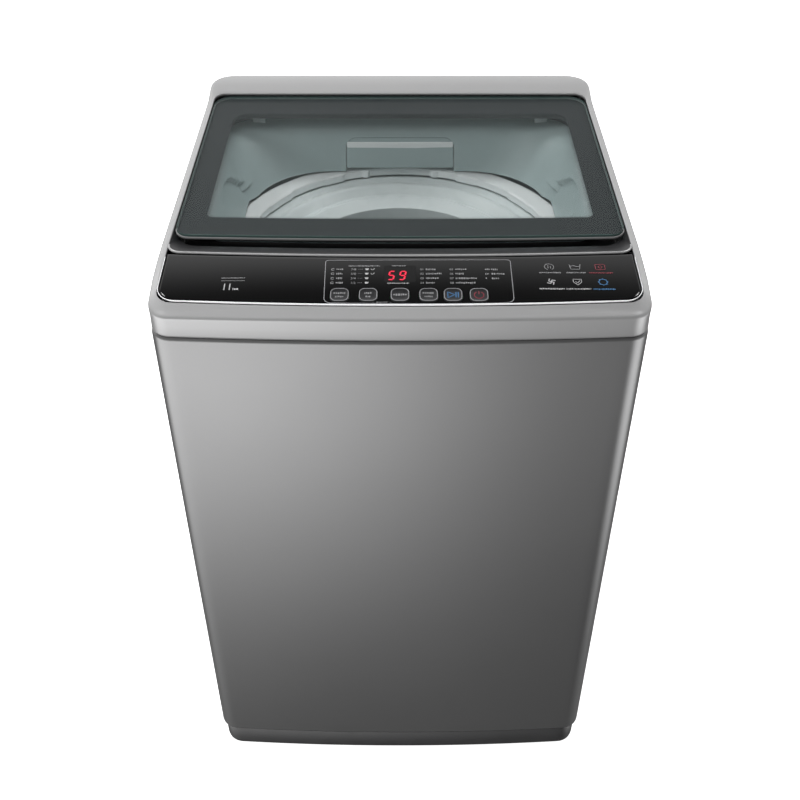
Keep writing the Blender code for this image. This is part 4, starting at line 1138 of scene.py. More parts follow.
def build_legends():
    """Printed marks: figures and simple symbols. Words are short plain bars."""
    line = 0.00075
    top_left = arc(-0.0872, -0.2215, 0.0035, 90, 180, 6)
    bottom_left = arc(-0.0816, -0.2868, 0.0080, 180, 265, 8)
    bottom_right = arc(0.1262, -0.2860, 0.0080, 275, 360, 8)
    top_right = arc(0.1312, -0.2205, 0.0035, 0, 90, 6)
    bottom = [(-0.0790 + 0.2030 * i / 24, -0.2962 + 0.0014 * ((i - 12) / 12) ** 2) for i in range(1, 24)]
    frame_loop = top_left + bottom_left + bottom + bottom_right + top_right
    piece("panel_frame_line", ribbon(frame_loop, line, closed=True), "cabinet", INK_LINE, outward=False)

    grey, pale, red, blue = [], [], [], []
    rows = (-0.2356, -0.2438, -0.2522, -0.2604)
    for i, y in enumerate(rows):
        grey += [
            ribbon(
                circle(-0.0812, y, 0.0017, 10, 30, 330), 0.0008,
            ), bar(-0.0828, -0.0796, y - 0.0016, 0.0012),
        ]
        grey.append(bar(-0.0768, -0.0690 + 0.0004 * (i % 2), y, 0.0030))
        grey.append(numerals(f"{(7, 5, 3, 1)[i]}/{(8, 8, 4, 2)[i]}", -0.0594, y - 0.0018, 0.0036))
        grey += [bar(-0.0506 + 0.0020 * k, -0.0492 + 0.0020 * k, y, 0.0008) for k in range(3)]
        cup = [(-0.0424, y + 0.0016), (-0.0414, y - 0.0015), (-0.0386, y - 0.0015), (-0.0376, y + 0.0016)]
        pale.append(patch(cup))
        if i < 2:
            pale.append(ribbon([(-0.0352, y + 0.0012), (-0.0342, y - 0.0010), (-0.0328, y - 0.0010),
                                (-0.0308, y + 0.0018)], 0.0008))
        grey.append(numerals(f"0{i + 1}", 0.0243, y - 0.0018, 0.0036, 0.9))
        grey.append(bar(0.0312, 0.0312 + (0.0118, 0.0190, 0.0158, 0.0108)[i], y, 0.0031))
        grey.append(numerals(f"0{i + 5}", 0.0600, y - 0.0018, 0.0036, 0.9))
        grey.append(bar(0.0669, 0.0669 + (0.0140, 0.0100, 0.0262, 0.0238)[i], y, 0.0031))
        if i < 3:
            count = 3 - i
            grey.append(bar(0.1030, 0.1040 + 0.0016 * count, y, 0.0032))
            grey.append(bar(0.1105, 0.1105 + (0.0080, 0.0160, 0.0084)[i], y, 0.0030))
    grey += [bar(-0.0625, -0.0240, -0.2292, 0.0022), bar(-0.0100, 0.0070, -0.2290, 0.0020)]
    pale += [bar(-0.0150, 0.0108, -0.2612, 0.0020)]
    grey += [
        bar(-0.0278, -0.0145, -0.2938, 0.0012),
        bar(-0.0325, -0.0303, -0.2940, 0.0006),
        bar(-0.0122, -0.0098, -0.2940, 0.0006),
    ]

    # Capacity figure on the left, over a short bar.
    pale += [numerals("11", -0.2125, -0.2722, 0.0118, 0.78), bar(-0.1990, -0.1915, -0.2706, 0.0032)]
    grey += [ribbon([(-0.2142, -0.2560), (-0.1862, -0.2560)], 0.0006), bar(-0.2142, -0.1862, -0.2510, 0.0018)]

    # Six simple symbols on the right, each over a bar.
    for k, (x, shown) in enumerate(((0.1812, grey), (0.2126, grey), (0.2432, red))):
        y = -0.2302
        if k == 0:
            shown += [ribbon(circle(x, y, 0.0056, 24, -60, 250), line), ribbon(
                [(x - 0.0014, y + 0.0030), (x - 0.0014, y - 0.0028)], line,
            ),
                    ribbon([(x + 0.0016, y + 0.0014), (x + 0.0016, y - 0.0030)], line)]
        elif k == 1:
            shown += [ribbon(
                [
                    (x - 0.0068, y + 0.0046),
                    (x - 0.0052, y - 0.0044),
                    (x + 0.0052, y - 0.0044),
                    (x + 0.0068, y + 0.0046),
                ],
                line,
            ),
                    ribbon(
                        [
                            (x - 0.0056, y + 0.0012),
                            (x - 0.0020, y + 0.0024),
                            (x + 0.0020, y + 0.0004),
                            (x + 0.0056, y + 0.0014),
                        ],
                        line,
                    )]
        else:
            shown += [
                ribbon(rounded(0.0058, 0.0050, 0.0018, 4, (x, y)), line, closed=True),
                ribbon(circle(x, y, 0.0022), line),
            ]
        width = (0.0128, 0.0116, 0.0146)[k]
        shown.append(bar(x - width, x + width, -0.2412, 0.0024))
    for k, (x, shown) in enumerate(((0.1812, pale), (0.2126, pale), (0.2432, blue))):
        y = -0.2578
        if k == 0:
            for turn in range(4):
                a = math.radians(90 * turn + 20)
                tip = (x + 0.0056 * math.cos(a), y + 0.0056 * math.sin(a))
                bend = (x + 0.0032 * math.cos(a + 0.9), y + 0.0032 * math.sin(a + 0.9))
                shown.append(ribbon([(x, y), bend, tip], 0.0013))
        elif k == 1:
            shield = [
                (x - 0.0050, y + 0.0046),
                (x + 0.0050, y + 0.0046),
                (x + 0.0048, y - 0.0006),
                (x, y - 0.0056),
                (x - 0.0048, y - 0.0006),
            ]
            shown += [
                ribbon(shield, line, closed=True),
                ribbon([(x - 0.0024, y + 0.0006), (x, y - 0.0018), (x + 0.0032, y + 0.0024)], line),
            ]
        else:
            shown.append(ribbon(circle(x, y, 0.0050), 0.0010))
            for turn in range(8):
                a = math.radians(45 * turn)
                shown.append(ribbon([(x + 0.0054 * math.cos(a), y + 0.0054 * math.sin(a)),
                                     (x + 0.0064 * math.cos(a), y + 0.0064 * math.sin(a))], 0.0010))
        width = (0.0152, 0.0146, 0.0130)[k]
        shown.append(bar(x - width, x + width, -0.2704, 0.0026))
    for tone, marks, finish in (
        ("grey", grey, INK),
        ("pale", pale, INK_PALE),
        ("red", red, INK_RED),
        ("blue", blue, INK_BLUE),
    ):
        piece(f"panel_legend_{tone}", merged(*marks), "cabinet", finish, outward=False)


def build_controls():
    """Six keys with a bright rim and a printed sign, and the lit display."""
    for name, x in BUTTONS.items():
        body = f"key_{name}"

        def cap_ring(half_x, half_y, r, dz):
            return [
                (px, py, panel_z(x, BUTTON_Y) + (py - BUTTON_Y) * 0.172 + dz) for px,
                py in rounded(half_x, half_y, r, 6, (x, BUTTON_Y))
            ]

        levels = [
            (0.0112, 0.0112, 0.0070, -0.0046),
            (0.0112, 0.0112, 0.0070, -0.0002),
            (0.0110, 0.0110, 0.0069, 0.0003),
        ]
        levels += [
            (0.0106, 0.0106, 0.0067, 0.0006),
            (0.0098, 0.0098, 0.0062, 0.0007),
            (0.0090, 0.0090, 0.0056, 0.0004),
        ]
        levels += [(0.0050, 0.0050, 0.0030, 0.00025)]
        key = skin([cap_ring(*level) for level in levels])
        piece(f"key_cap_{name}", key, body, BUTTON, [f"button_{name}"], sharp=50)
        rim = [Vector(p) for p in cap_ring(0.0103, 0.0103, 0.0065, 0.00085)]
        piece(f"key_rim_{name}", tube(rim, 0.00045, 8, closed=True), body, INK_LINE)
        marks = []
        if name == "start":
            marks += [ribbon(
                [(x - 0.0062, BUTTON_Y + 0.0050), (x - 0.0062, BUTTON_Y - 0.0050), (x + 0.0018, BUTTON_Y)],
                0.0011,
                closed=True,
            ),
                      ribbon(
                          [(x + 0.0034, BUTTON_Y - 0.0046), (x + 0.0034, BUTTON_Y + 0.0046)], 0.0013,
                      ), ribbon([(x + 0.0062, BUTTON_Y - 0.0046), (x + 0.0062, BUTTON_Y + 0.0046)], 0.0013)]
            finish = INK_BLUE
        elif name == "power":
            marks += [
                ribbon(circle(x, BUTTON_Y - 0.0004, 0.0056, 28, 118, 422), 0.0011),
                ribbon([(x, BUTTON_Y + 0.0066), (x, BUTTON_Y + 0.0006)], 0.0011),
            ]
            finish = INK_RED
        else:
            wide = {"process": 0.0072, "level": 0.0044, "program": 0.0078, "speed": 0.0070}[name]
            if name == "program":
                marks.append(bar(x - wide, x + wide, BUTTON_Y, 0.0036))
            else:
                marks += [
                    bar(x - wide, x + wide, BUTTON_Y + 0.0028, 0.0032),
                    bar(x - wide * 0.7, x + wide * 0.7, BUTTON_Y - 0.0032, 0.0028),
                ]
            finish = INK
        sign = merged(*marks)
        for v in sign.verts:
            v.co.z = panel_z(x, BUTTON_Y) + (v.co.y - BUTTON_Y) * 0.172 + 0.00052
        piece(f"key_sign_{name}", sign, body, finish, outward=False)

    window = rounded(0.0189, 0.0149, 0.0018, 4, (0.0, -0.2435))
    rings = [[(px, py, panel_z(px, py) + dz) for px, py in window] for dz in (-0.0030, -0.0006, -0.0003)]
    piece("display_lens", skin(rings), "cabinet", GLOSS, ["display_window"])
    lit = lit_digit("5", -0.0145, -0.2546, 0.0062, 0.0152) + lit_digit("9", -0.0013, -0.2546, 0.0062, 0.0152)
    piece("display_figures", merged(*lit), "cabinet", LIT_RED, outward=False)


# ---------------------------------------------------------------- lid
def ear_notches():
    """Cutters that leave room for the hinge ears."""
    sides = [(side * HINGE_X - 0.0110, side * HINGE_X + 0.0110) for side in (-1, 1)]
    return [box_mesh((a, 0.2165, 0.90), (b, 0.2500, 0.9255), 0.0008, 1) for a, b in sides]


def lid_loops(rows):
    """Outlines at a drop below the lid plane, from rows of outline sizes and a drop."""
    return [ring(outline(*row[:6]), lambda x, y, d=row[6]: lid_z(y) - d) for row in rows]


def build_lid():
    gx, front, back = GLASS_X, GLASS_FRONT_Y, GLASS_BACK_Y
    rows = []
    for inset, drop in (
        (0.0007, 0.0040), (0.0002, 0.0038), (0.0, 0.0034), (0.0, 0.0006), (0.0002, 0.0002), (0.0007, 0.0),
    ):
        rows.append((gx - inset, front + inset, back - inset, 0.020, 0.026, 0.0055, drop))
    pane = piece("lid_pane", skin(lid_loops(rows)), "lid", PANE, ["lid_glass"], sharp=15)
    pane.data.materials.append(PANE_EDGE)
    for polygon in pane.data.polygons:
        if abs(polygon.normal.z) < 0.93:
            polygon.material_index = 1

    border = [
        (gx - 0.0010, front + 0.0010, back - 0.0010, 0.019, 0.025, 0.0055, 0.00405),
        (WINDOW_X, WINDOW_FRONT_Y, WINDOW_BACK_Y, 0.0095, 0.0220, 0.0046, 0.00405),
        (WINDOW_X, WINDOW_FRONT_Y, WINDOW_BACK_Y, 0.0095, 0.0220, 0.0046, 0.00425),
        (gx - 0.0010, front + 0.0010, back - 0.0010, 0.019, 0.025, 0.0055, 0.00425),
    ]
    piece("lid_print", skin(lid_loops(border), closed=True), "lid", PRINT, sharp=30)

    dots = []
    for row, (inset, r) in enumerate(((0.0009, 0.00062), (0.0024, 0.00048), (0.0039, 0.00034))):
        loop = outline(
            WINDOW_X - inset, WINDOW_FRONT_Y + inset, WINDOW_BACK_Y - inset, 0.0090, 0.0210, 0.0046,
        )
        pitch, travelled, phase = 0.00165, 0.0, (row % 2) * 0.0008
        for a, b in zip(loop, loop[1:] + loop[:1]):
            a, b = Vector(a), Vector(b)
            step = (b - a).length
            while phase <= travelled + step:
                p = a.lerp(b, (phase - travelled) / step)
                dots.append((p.x, p.y, r))
                phase += pitch
            travelled += step
    bm = bmesh.new()
    for x, y, r in dots:
        rim = arc(x, y, r, 0, 300, 5)
        bm.faces.new([bm.verts.new((px, py, lid_z(y) - 0.00415)) for px, py in rim])
    piece("lid_dots", bm, "lid", PRINT, outward=False)

    strip = []
    for inset, drop in ((-0.0003, 0.00435), (-0.0003, 0.0032), (-0.0007, 0.0032), (-0.0010, 0.0038),
                        (-0.0010, 0.0050), (-0.0007, 0.0064), (0.0002, 0.0072), (0.0040, 0.0074),
                        (0.0042, 0.0062), (0.0042, 0.00435)):
        strip.append((gx - inset, front + inset, back - inset, 0.020, 0.026, 0.0055, drop))
    strip_piece = piece(
        "lid_edge_strip", skin(lid_loops(strip), closed=True), "lid", SILVER, sharp=50,
    )
    cut(strip_piece, *ear_notches())

    frame_rows = []
    outer = (
        (0.2832, -0.1602, 0.2402, 0.017, 0.022),
        (0.2828, -0.1598, 0.2398, 0.017, 0.022),
        (0.2790, -0.1560, 0.2375, 0.016, 0.022),
    )
    for (w, f, b, rf, rb), drop in zip(
        (outer[0], outer[1], outer[2], outer[2]), (0.0045, 0.0072, 0.0080, 0.0132),
    ):
        frame_rows.append((w, f, b, rf, rb, 0.0055, drop))
    frame_rows.append((0.2780, -0.1550, 0.2365, 0.0155, 0.0215, 0.0055, 0.0140))
    for grow, drop in ((0.0045, 0.0140), (0.0034, 0.0134), (0.0030, 0.0120), (0.0030, 0.0045)):
        frame_rows.append(
            (WINDOW_X + grow, WINDOW_FRONT_Y - grow, WINDOW_BACK_Y + grow, 0.012, 0.022, 0.0044, drop)
        )
    ring_frame = piece(
        "lid_ring_frame",
        skin(lid_loops(frame_rows), closed=True),
        "lid",
        MATTE,
        ["lid_frame"],
        sharp=50,
    )
    cut(ring_frame, *ear_notches())


# ---------------------------------------------------------------- tub
def build_tub():
    r, low, high = 0.262, 0.2150, 0.8000
    wall = 0.0028
    outside = [(0.0322, low), (r - 0.024, low), (r - 0.012, low + 0.003), (r - 0.008, low + 0.014)]
    outside += [
        (r - 0.0005, 0.780), (r, high - 0.008), (r + 0.0040, high - 0.006), (r + 0.0040, high + 0.0038),
    ]
    inside = [(r - wall, high + 0.0038), (r - wall - 0.0005, 0.780), (r - 0.008 - wall, low + 0.017)]
    inside += [(r - 0.014 - wall, low + 0.006), (r - 0.026, low + wall), (0.0322, low + wall)]
    parts = [turned(smooth_profile(outside, [0.004] * 6 + [0.001] * 2) + inside, 120)]
    for k in range(24):
        a = math.radians(15 * k + 7.5)
        fin = box_mesh((0.092, -0.0012, low - 0.006), (r - 0.026, 0.0012, low + 0.001), 0.0004, 1)
        fin.transform(Matrix.Rotation(a, 4, "Z"))
        parts.append(fin)
    for z in (0.33, 0.45, 0.57, 0.69):
        rr = r - 0.008 + 0.0075 * (z - 0.229) / 0.551
        parts.append(turned([(rr - 0.001, z - 0.0016), (rr + 0.0032, z - 0.0010), (rr + 0.0032, z + 0.0010),
                             (rr - 0.001, z + 0.0016)], 120))
    for i in range(4):
        turn = Matrix.Rotation(math.radians(45 + 90 * i), 4, "Z")
        lug = box_mesh((r - 0.0095, -0.024, 0.2350), (0.3615, 0.024, 0.2600), 0.003, 2)
        lug.transform(turn)
        web = skin(
            [[(r - 0.009, y, 0.2590), (0.335, y, 0.2590), (r - 0.0075, y, 0.3300)] for y in (-0.0015, 0.0015)]
        )
        web.transform(turn)
        parts += [lug, web]
    tub = merged(*parts)
    piece("tub_shell", tub, "tub", WHITE, ["outer_tub"], sharp=35)

    # The cover ring's inner lip is notched for the drawer's water curtain.
    mouth, top = 0.2163, 0.8200
    profile = smooth_profile(
        [(
            r + 0.0040, high + 0.0043,
        ), (r + 0.0040, high + 0.0075), (r - 0.0120, 0.8175), (mouth + 0.0040, top),
         (mouth, top - 0.0016), (mouth, 0.8080)], [0.001, 0.006, 0.004, 0.002], 5)
    profile += [
        (mouth + 0.0025, 0.8080), (mouth + 0.0030, 0.8160), (r - 0.0140, 0.8130), (r - 0.0040, high + 0.0043),
    ]
    # Each notch: its middle and half width in degrees, and its depth
    notches = [(90, 13, 0.0052)]
    for away, half, depth in ((20, 5, 0.0040), (42, 9, 0.0026), (70, 6, 0.0018), (160, 10, 0.0020)):
        notches += [(90 - away, half, depth), (90 + away, half, depth)]
    notches = [(centre % 360, half, depth) for centre, half, depth in notches]
    steps = 288
    rings = []
    for k in range(steps):
        a = math.tau * k / steps
        degrees = 360 * k / steps
        step = max([0.0] + [depth for centre, half, depth in notches if abs(degrees - centre) < half])
        row = [(rr + step if rr < mouth + 0.0035 else rr, z) for rr, z in profile]
        rings.append([(rr * math.cos(a), rr * math.sin(a), z) for rr, z in row])
    piece("tub_cover_ring", skin(rings, closed=True), "tub", WHITE, ["tub_ring"], sharp=40)


def build_basket():
    r, low, top = 0.2440, 0.2480, 0.7500
    profile = smooth_profile(
        [(r + 0.0003, top - 0.012), (r + 0.0030, top - 0.012), (r + 0.0045, top + 0.030),
         (0.2385, top + 0.0480), (0.2180, top + 0.0560), (0.2070, top + 0.0492), (0.1930, top + 0.0580),
         (0.1800, top + 0.0440), (0.1755, top + 0.0446), (0.1738, top + 0.0432), (0.1700, top + 0.0450),
         (0.1512, top + 0.0345), (0.1512, top + 0.0040), (0.2200, top + 0.0030), (r - 0.0040, top + 0.0020),
         (r + 0.0003, top + 0.0020)],
        [
            0.001, 0.003, 0.008, 0.010, 0.006, 0.008, 0.004, 0.0008, 0.0008, 0.002, 0.002, 0.004, 0.004,
            0.001,
        ], 6)
    piece(
        "balance_ring_shell", turned(profile, 144), "basket", GREY, ["balance_ring"],
        sharp=50,
    )

    # Perforated steel drum: rows of small drawn holes between plain bands.
    sheet, z0, z1 = 0.0007, low + 0.030, top
    around, rows = 120, 46
    bm = bmesh.new()

    def at(angle, z, out):
        return (out * math.cos(angle), out * math.sin(angle), z)

    pitch = (z1 - z0 - 0.050) / rows
    hole = 0.0017
    for out, flip in ((r, False), (r - sheet, True)):
        for j in range(rows):
            zc = z0 + 0.025 + pitch * (j + 0.5)
            for i in range(around):
                shift = 0.5 * (j % 2)
                ac = math.tau * (i + shift) / around
                da = math.pi / around
                plain = i % 10 == 0 or not 3 <= j < rows - 2
                corners = [
                    (ac + sx * da, zc + sz * pitch / 2) for sx, sz in ((-1, -1), (1, -1), (1, 1), (-1, 1))
                ]
                outer = [bm.verts.new(at(a, z, out)) for a, z in corners]
                if plain:
                    bm.faces.new(outer if not flip else outer[::-1])
                    continue
                mouth = []
                dip = out - 0.0006
                for k in range(8):
                    t = math.radians(45 * k + 22.5 - 135)
                    mouth.append(
                        bm.verts.new(at(ac + hole / out * math.cos(t), zc + hole * math.sin(t), dip))
                    )
                for k in range(4):
                    a, b = outer[k], outer[(k + 1) % 4]
                    m0, m1, m2 = mouth[(2 * k) % 8], mouth[(2 * k + 1) % 8], mouth[(2 * k + 2) % 8]
                    for face in ((a, b, m1, m0), (b, m2, m1)):
                        bm.faces.new(face if not flip else face[::-1])
        for za, zb in ((z0, z0 + 0.025), (z1 - 0.025, z1)):
            ring_a = [bm.verts.new(at(math.tau * k / around, za, out)) for k in range(around)]
            ring_b = [bm.verts.new(at(math.tau * k / around, zb, out)) for k in range(around)]
            for k in range(around):
                n = (k + 1) % around
                face = (ring_a[k], ring_a[n], ring_b[n], ring_b[k])
                bm.faces.new(face if not flip else face[::-1])
    bmesh.ops.remove_doubles(bm, verts=bm.verts, dist=1e-5)
    piece("drum_sheet", bm, "basket", STAINLESS, ["basket_drum"], sharp=40, outward=False)

    base = smooth_profile(
        [(0.0480, low), (r - 0.010, low), (r - 0.0020, low + 0.010), (r - 0.0016, low + 0.0455),
         (r - 0.0058, low + 0.0455),
         (r - 0.0080, low + 0.016), (0.1960, low + 0.0072), (0.1860, low + 0.0060), (0.0480, low + 0.0060)],
        [0.004, 0.004, 0.001, 0.001, 0.012, 0.006, 0.003], 5)
    piece("basket_floor", turned(base, 120), "basket", GREY, ["basket_base"], sharp=40)

    hub = smooth_profile(
        [(0.0098, 0.1540), (0.0126, 0.1540), (0.0126, low - 0.014), (0.0220, low - 0.014),
         (0.0245, low - 0.0045), (0.0900, low - 0.0045),
         (0.0900, low - 0.0004), (0.0470, low - 0.0004), (0.0470, low + 0.0035), (0.0098, low + 0.0035)],
        [0.001, 0.002, 0.002, 0.003, 0.001, 0.001, 0.0005, 0.001], 4)
    piece("hub_flange", turned(hub, 72), "basket", ALUMINIUM, ["basket_hub"], sharp=40)

    for side, name in ((-1, "left"), (1, "right")):
        inner = r - sheet - 0.0016
        z0, z1 = 0.4205, 0.6095
        rings = []
        for k in range(13):
            t = k / 12
            z = z0 + (z1 - z0) * t
            pinch = 0.25 + 0.75 * math.sin(math.pi * min(1.0, max(0.0, 0.08 + 0.84 * t))) ** 0.35
            depth = 0.0165 * pinch
            half = math.radians(9.0) * (0.90 + 0.10 * pinch)
            back = [
                (inner * math.cos(a), inner * math.sin(a)) for a in (half * (1 - i / 6) for i in range(13))
            ]
            face = []
            for i in range(13):
                a = -half * 0.92 + half * 0.92 * i / 6
                bulge = depth * (1 - (a / half) ** 4)
                face.append(((inner - 0.002 - bulge) * math.cos(a), (inner - 0.002 - bulge) * math.sin(a)))
            rings.append([(side * x, y, z) for x, y in back + face])
        body = skin(rings)
        slots = []
        near, far = sorted((side * 0.215, side * 0.2335))
        for k in range(11):
            z = z0 + 0.026 + 0.0135 * k
            slots.append(box_mesh((near, -0.0185, z), (far, 0.0185, z + 0.0042), 0.0004, 1))
        case = piece(
            f"lint_filter_case_{name}",
            body,
            "basket",
            WHITE,
            [f"lint_filter_{name}"],
            sharp=40,
        )
        cut(case, merged(*slots))


def build_pulsator():
    """A dished disc whose six curved vanes rise smoothly out of it."""
    low = 0.2555
    dish = smooth_profile(
        [(0.0, low + 0.0340), (0.0150, low + 0.0340), (0.0150, low + 0.0385), (0.0400, low + 0.0330),
         (0.0600, low + 0.0190),
         (0.1200, low + 0.0115), (0.1640, low + 0.0100), (0.1738, low + 0.0050), (0.1700, low), (0.0, low)],
        [0.0008, 0.003, 0.012, 0.015, 0.02, 0.005, 0.003, 0.001], 6)
    steps = 216
    rings = []
    for k in range(steps):
        a = math.tau * k / steps
        row = []
        for r, z in dish[:-1]:
            lift = 0.0
            if z > low + 0.0045 and 0.026 < r < 0.166:
                bend = math.radians(27) * max(0.0, (r - 0.034) / 0.122) ** 1.6
                off = (a - bend) % (math.tau / 6)
                off = min(off, math.tau / 6 - off) * r
                width = 0.0140 - 0.0050 * (r - 0.03) / 0.13
                crest = 0.0165 * ease(r, 0.026, 0.060) * (
                    1 - ease(r, 0.120, 0.165)
                ) + 0.004 * (1 - ease(r, 0.150, 0.166))
                lift = crest * (1 - ease(off, 0.0015, width))
            row.append((r * math.cos(a), r * math.sin(a), z + lift))
        rings.append(row)
    disc = bmesh.new()
    loops = [[disc.verts.new(p) for p in row] for row in rings]
    count = len(loops[0])
    for i in range(steps):
        a, b = loops[i], loops[(i + 1) % steps]
        for k in range(count - 1):
            disc.faces.new((a[k], b[k], b[k + 1], a[k + 1]))
    bmesh.ops.remove_doubles(disc, verts=disc.verts, dist=1e-6)
    open_edges = [e for e in disc.edges if len(e.link_faces) == 1]
    if open_edges:
        bmesh.ops.holes_fill(disc, edges=open_edges)
    piece("pulsator_disc", disc, "agitator", GREY, ["pulsator"], sharp=50)
    bolt = hexagon(0.0080, 0.0078, 0.0028, (0, 0, low + 0.0384), 0.0005)
    washer = turned(
        [
            (0.0, low + 0.0344),
            (0.0120, low + 0.0344),
            (0.0122, low + 0.0350),
            (0.0116, low + 0.0358),
            (0.0, low + 0.0372),
        ],
        40,
        solid=True,
    )
    piece("pulsator_bolt_head", merged(bolt, washer), "agitator", STAINLESS, ["pulsator_bolt"])


# ---------------------------------------------------------------- drive, suspension and water
MOTOR_AT = (0.120, -0.120)
PULLEY_R, MOTOR_PULLEY_R, BELT_Z = 0.075, 0.025, 0.1000


def build_drive():
    """Gear case, plate, motor, both pulleys and the belt, all under the tub."""
    under = 0.2146
    case = smooth_profile(
        [(0.0132, 0.1420), (0.0480, 0.1420), (0.0560, 0.1500), (0.0560, 0.2020), (0.0860, 0.2020),
         (0.0860, under), (0.0312, under),
         (0.0312, 0.2300), (0.0132, 0.2300)], [0.001, 0.004, 0.004, 0.005, 0.002, 0.001, 0.001, 0.001], 4)
    parts = [turned(case, 72)]
    for k in range(8):
        fin = box_mesh((0.0520, -0.0018, 0.1520), (0.0760, 0.0018, 0.2040), 0.0008, 2)
        fin.transform(Matrix.Rotation(math.radians(45 * k + 22), 4, "Z"))
        parts.append(fin)
    piece("gear_case_body", merged(*parts), "tub", ALUMINIUM, ["gear_case"])

    hull = arc(0.0, 0.0, 0.112, 45, 225, 40) + arc(*MOTOR_AT, 0.086, 225, 405, 40)
    plate = piece(
        "drive_plate", slab(
            hull, under - 0.0035, under, 0.0008,
        ), "tub", ZINC, ["support_plate"],
    )
    cut(plate, turned([(0, 0.19), (0.0868, 0.19), (0.0868, 0.23), (0, 0.23)], 72, solid=True))

    mx, my = MOTOR_AT
    shell = smooth_profile(
        [
            (0.0, 0.1190),
            (0.0300, 0.1190),
            (0.0620, 0.1260),
            (0.0640, 0.1320),
            (0.0640, 0.1960),
            (0.0560, 0.2040),
            (0.0560, 0.2104),
            (0.0, 0.2104),
        ],
        [0.003, 0.006, 0.004, 0.004, 0.003, 0.001], 4)
    parts = [turned(shell, 72, MOTOR_AT, solid=True)]
    for k in range(28):
        fin = box_mesh((0.0630, -0.0012, 0.1400), (0.0672, 0.0012, 0.1900), 0.0005, 1)
        fin.transform(Matrix.Translation((mx, my, 0)) @ Matrix.Rotation(math.tau * k / 28, 4, "Z"))
        parts.append(fin)
    piece("motor_body", merged(*parts), "tub", ZINC, ["motor"])

    for name, (cx, cy), r, shaft_r, top, body, node in (
        ("pulley_large", (0.0, 0.0), PULLEY_R, 0.0092, 0.1530, "driven_wheel", "drive_pulley"),
        ("pulley_small", MOTOR_AT, MOTOR_PULLEY_R, 0.0062, 0.1480, "motor_wheel", "motor_pulley"),
    ):
        low, high = BELT_Z - 0.0085, BELT_Z + 0.0085
        rim_in = max(r - 0.010, shaft_r + 0.006)
        rows = [
            (0.0, low + 0.002),
            (shaft_r + 0.006, low + 0.002),
            (shaft_r + 0.007, low + 0.0045),
            (rim_in - 0.002, low + 0.0045),
            (rim_in, low),
        ]
        rows += [
            (r + 0.0032, low),
            (r + 0.0040, low + 0.0008),
            (r + 0.0040, low + 0.0020),
            (r - 0.0020, 0.0965),
            (r - 0.0020, 0.1035),
        ]
        rows += [
            (r + 0.0040, high - 0.0020),
            (r + 0.0040, high - 0.0008),
            (r + 0.0032, high),
            (rim_in, high),
            (rim_in - 0.002, high - 0.0045),
        ]
        rows += [
            (shaft_r + 0.007, high - 0.0045),
            (shaft_r + 0.006, high),
            (shaft_r, high + 0.004),
            (shaft_r, top),
            (0.0, top),
        ]
        piece(name, turned(rows, 96, (cx, cy), solid=True), body, ALUMINIUM, [node], sharp=30)

    away, heading = Vector(MOTOR_AT).length, math.degrees(math.atan2(my, mx))

    def loop(extra):
        big, small = PULLEY_R + extra, MOTOR_PULLEY_R + extra
        wrap = math.degrees(math.acos((big - small) / away))
        return arc(mx, my, small, heading - wrap, heading + wrap, 24) + arc(
            0.0, 0.0, big, heading + wrap, heading - wrap + 360, 64,
        )

    rings = []
    for extra, half in ((-0.0012, -0.0022), (-0.0004, -0.0026), (0.0026, -0.0036), (0.0031, -0.0032),
                        (0.0031, 0.0032),
                        (0.0026, 0.0036), (-0.0004, 0.0026), (-0.0012, 0.0022)):
        rings.append([(x, y, BELT_Z + half) for x, y in loop(extra)])
    piece("v_belt", skin(rings, closed=True), "tub", RUBBER, ["drive_belt"], sharp=50)


def stretch(obj, start, end):
    """Takes a piece off its body and bakes its placement into its mesh. Its start and end are not used."""
    obj.parent = None
    del obj["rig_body"]
    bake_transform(obj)
    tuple(start)
    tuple(end)


def build_suspension():
    """Each rod hangs from a gusset and carries a coil spring under the tub's lug."""
    for sx, side in ((-1, "left"), (1, "right")):
        for sy, end in ((-1, "front"), (1, "rear")):
            x, y = sx * ROD_X, sy * ROD_X
            low, top = 0.1560, 0.2346
            rows = [
                (0.0, low - 0.0120),
                (0.0078, low - 0.0120),
                (0.0150, low - 0.0070),
                (0.0188, low - 0.0040),
                (0.0190, low - 0.0010),
                (0.0186, low - 0.0004),
            ]
            rows += [
                (0.0060, low - 0.0004),
                (0.0035, low + 0.0020),
                (0.0035, 0.8294),
                (0.0088, 0.8294),
                (0.0100, 0.8318),
                (0.0096, 0.8345),
            ]
            rows += [(0.0070, 0.8375), (0.0040, 0.8388), (0.0, 0.8390)]
            piece(
                f"rod_bar_{end}_{side}",
                turned(rows, 32, (x, y), solid=True),
                "cabinet",
                ZINC,
                [f"rod_{end}_{side}"],
                sharp=40,
            )
            wire, coil_r, turns = 0.0013, 0.0130, 9
            path = []
            steps = turns * 20
            for k in range(steps + 1):
                t = k / steps
                a = math.tau * turns * t
                z = low + 0.0015 + (top - low - 0.0030) * t
                path.append((x + coil_r * math.cos(a), y + coil_r * math.sin(a), z))
            spring = piece(
                f"coil_{end}_{side}",
                tube(path, wire, 8),
                "cabinet",
                ZINC,
                [f"spring_{end}_{side}"],
            )
            stretch(spring, (x, y, low), (x, y, top))


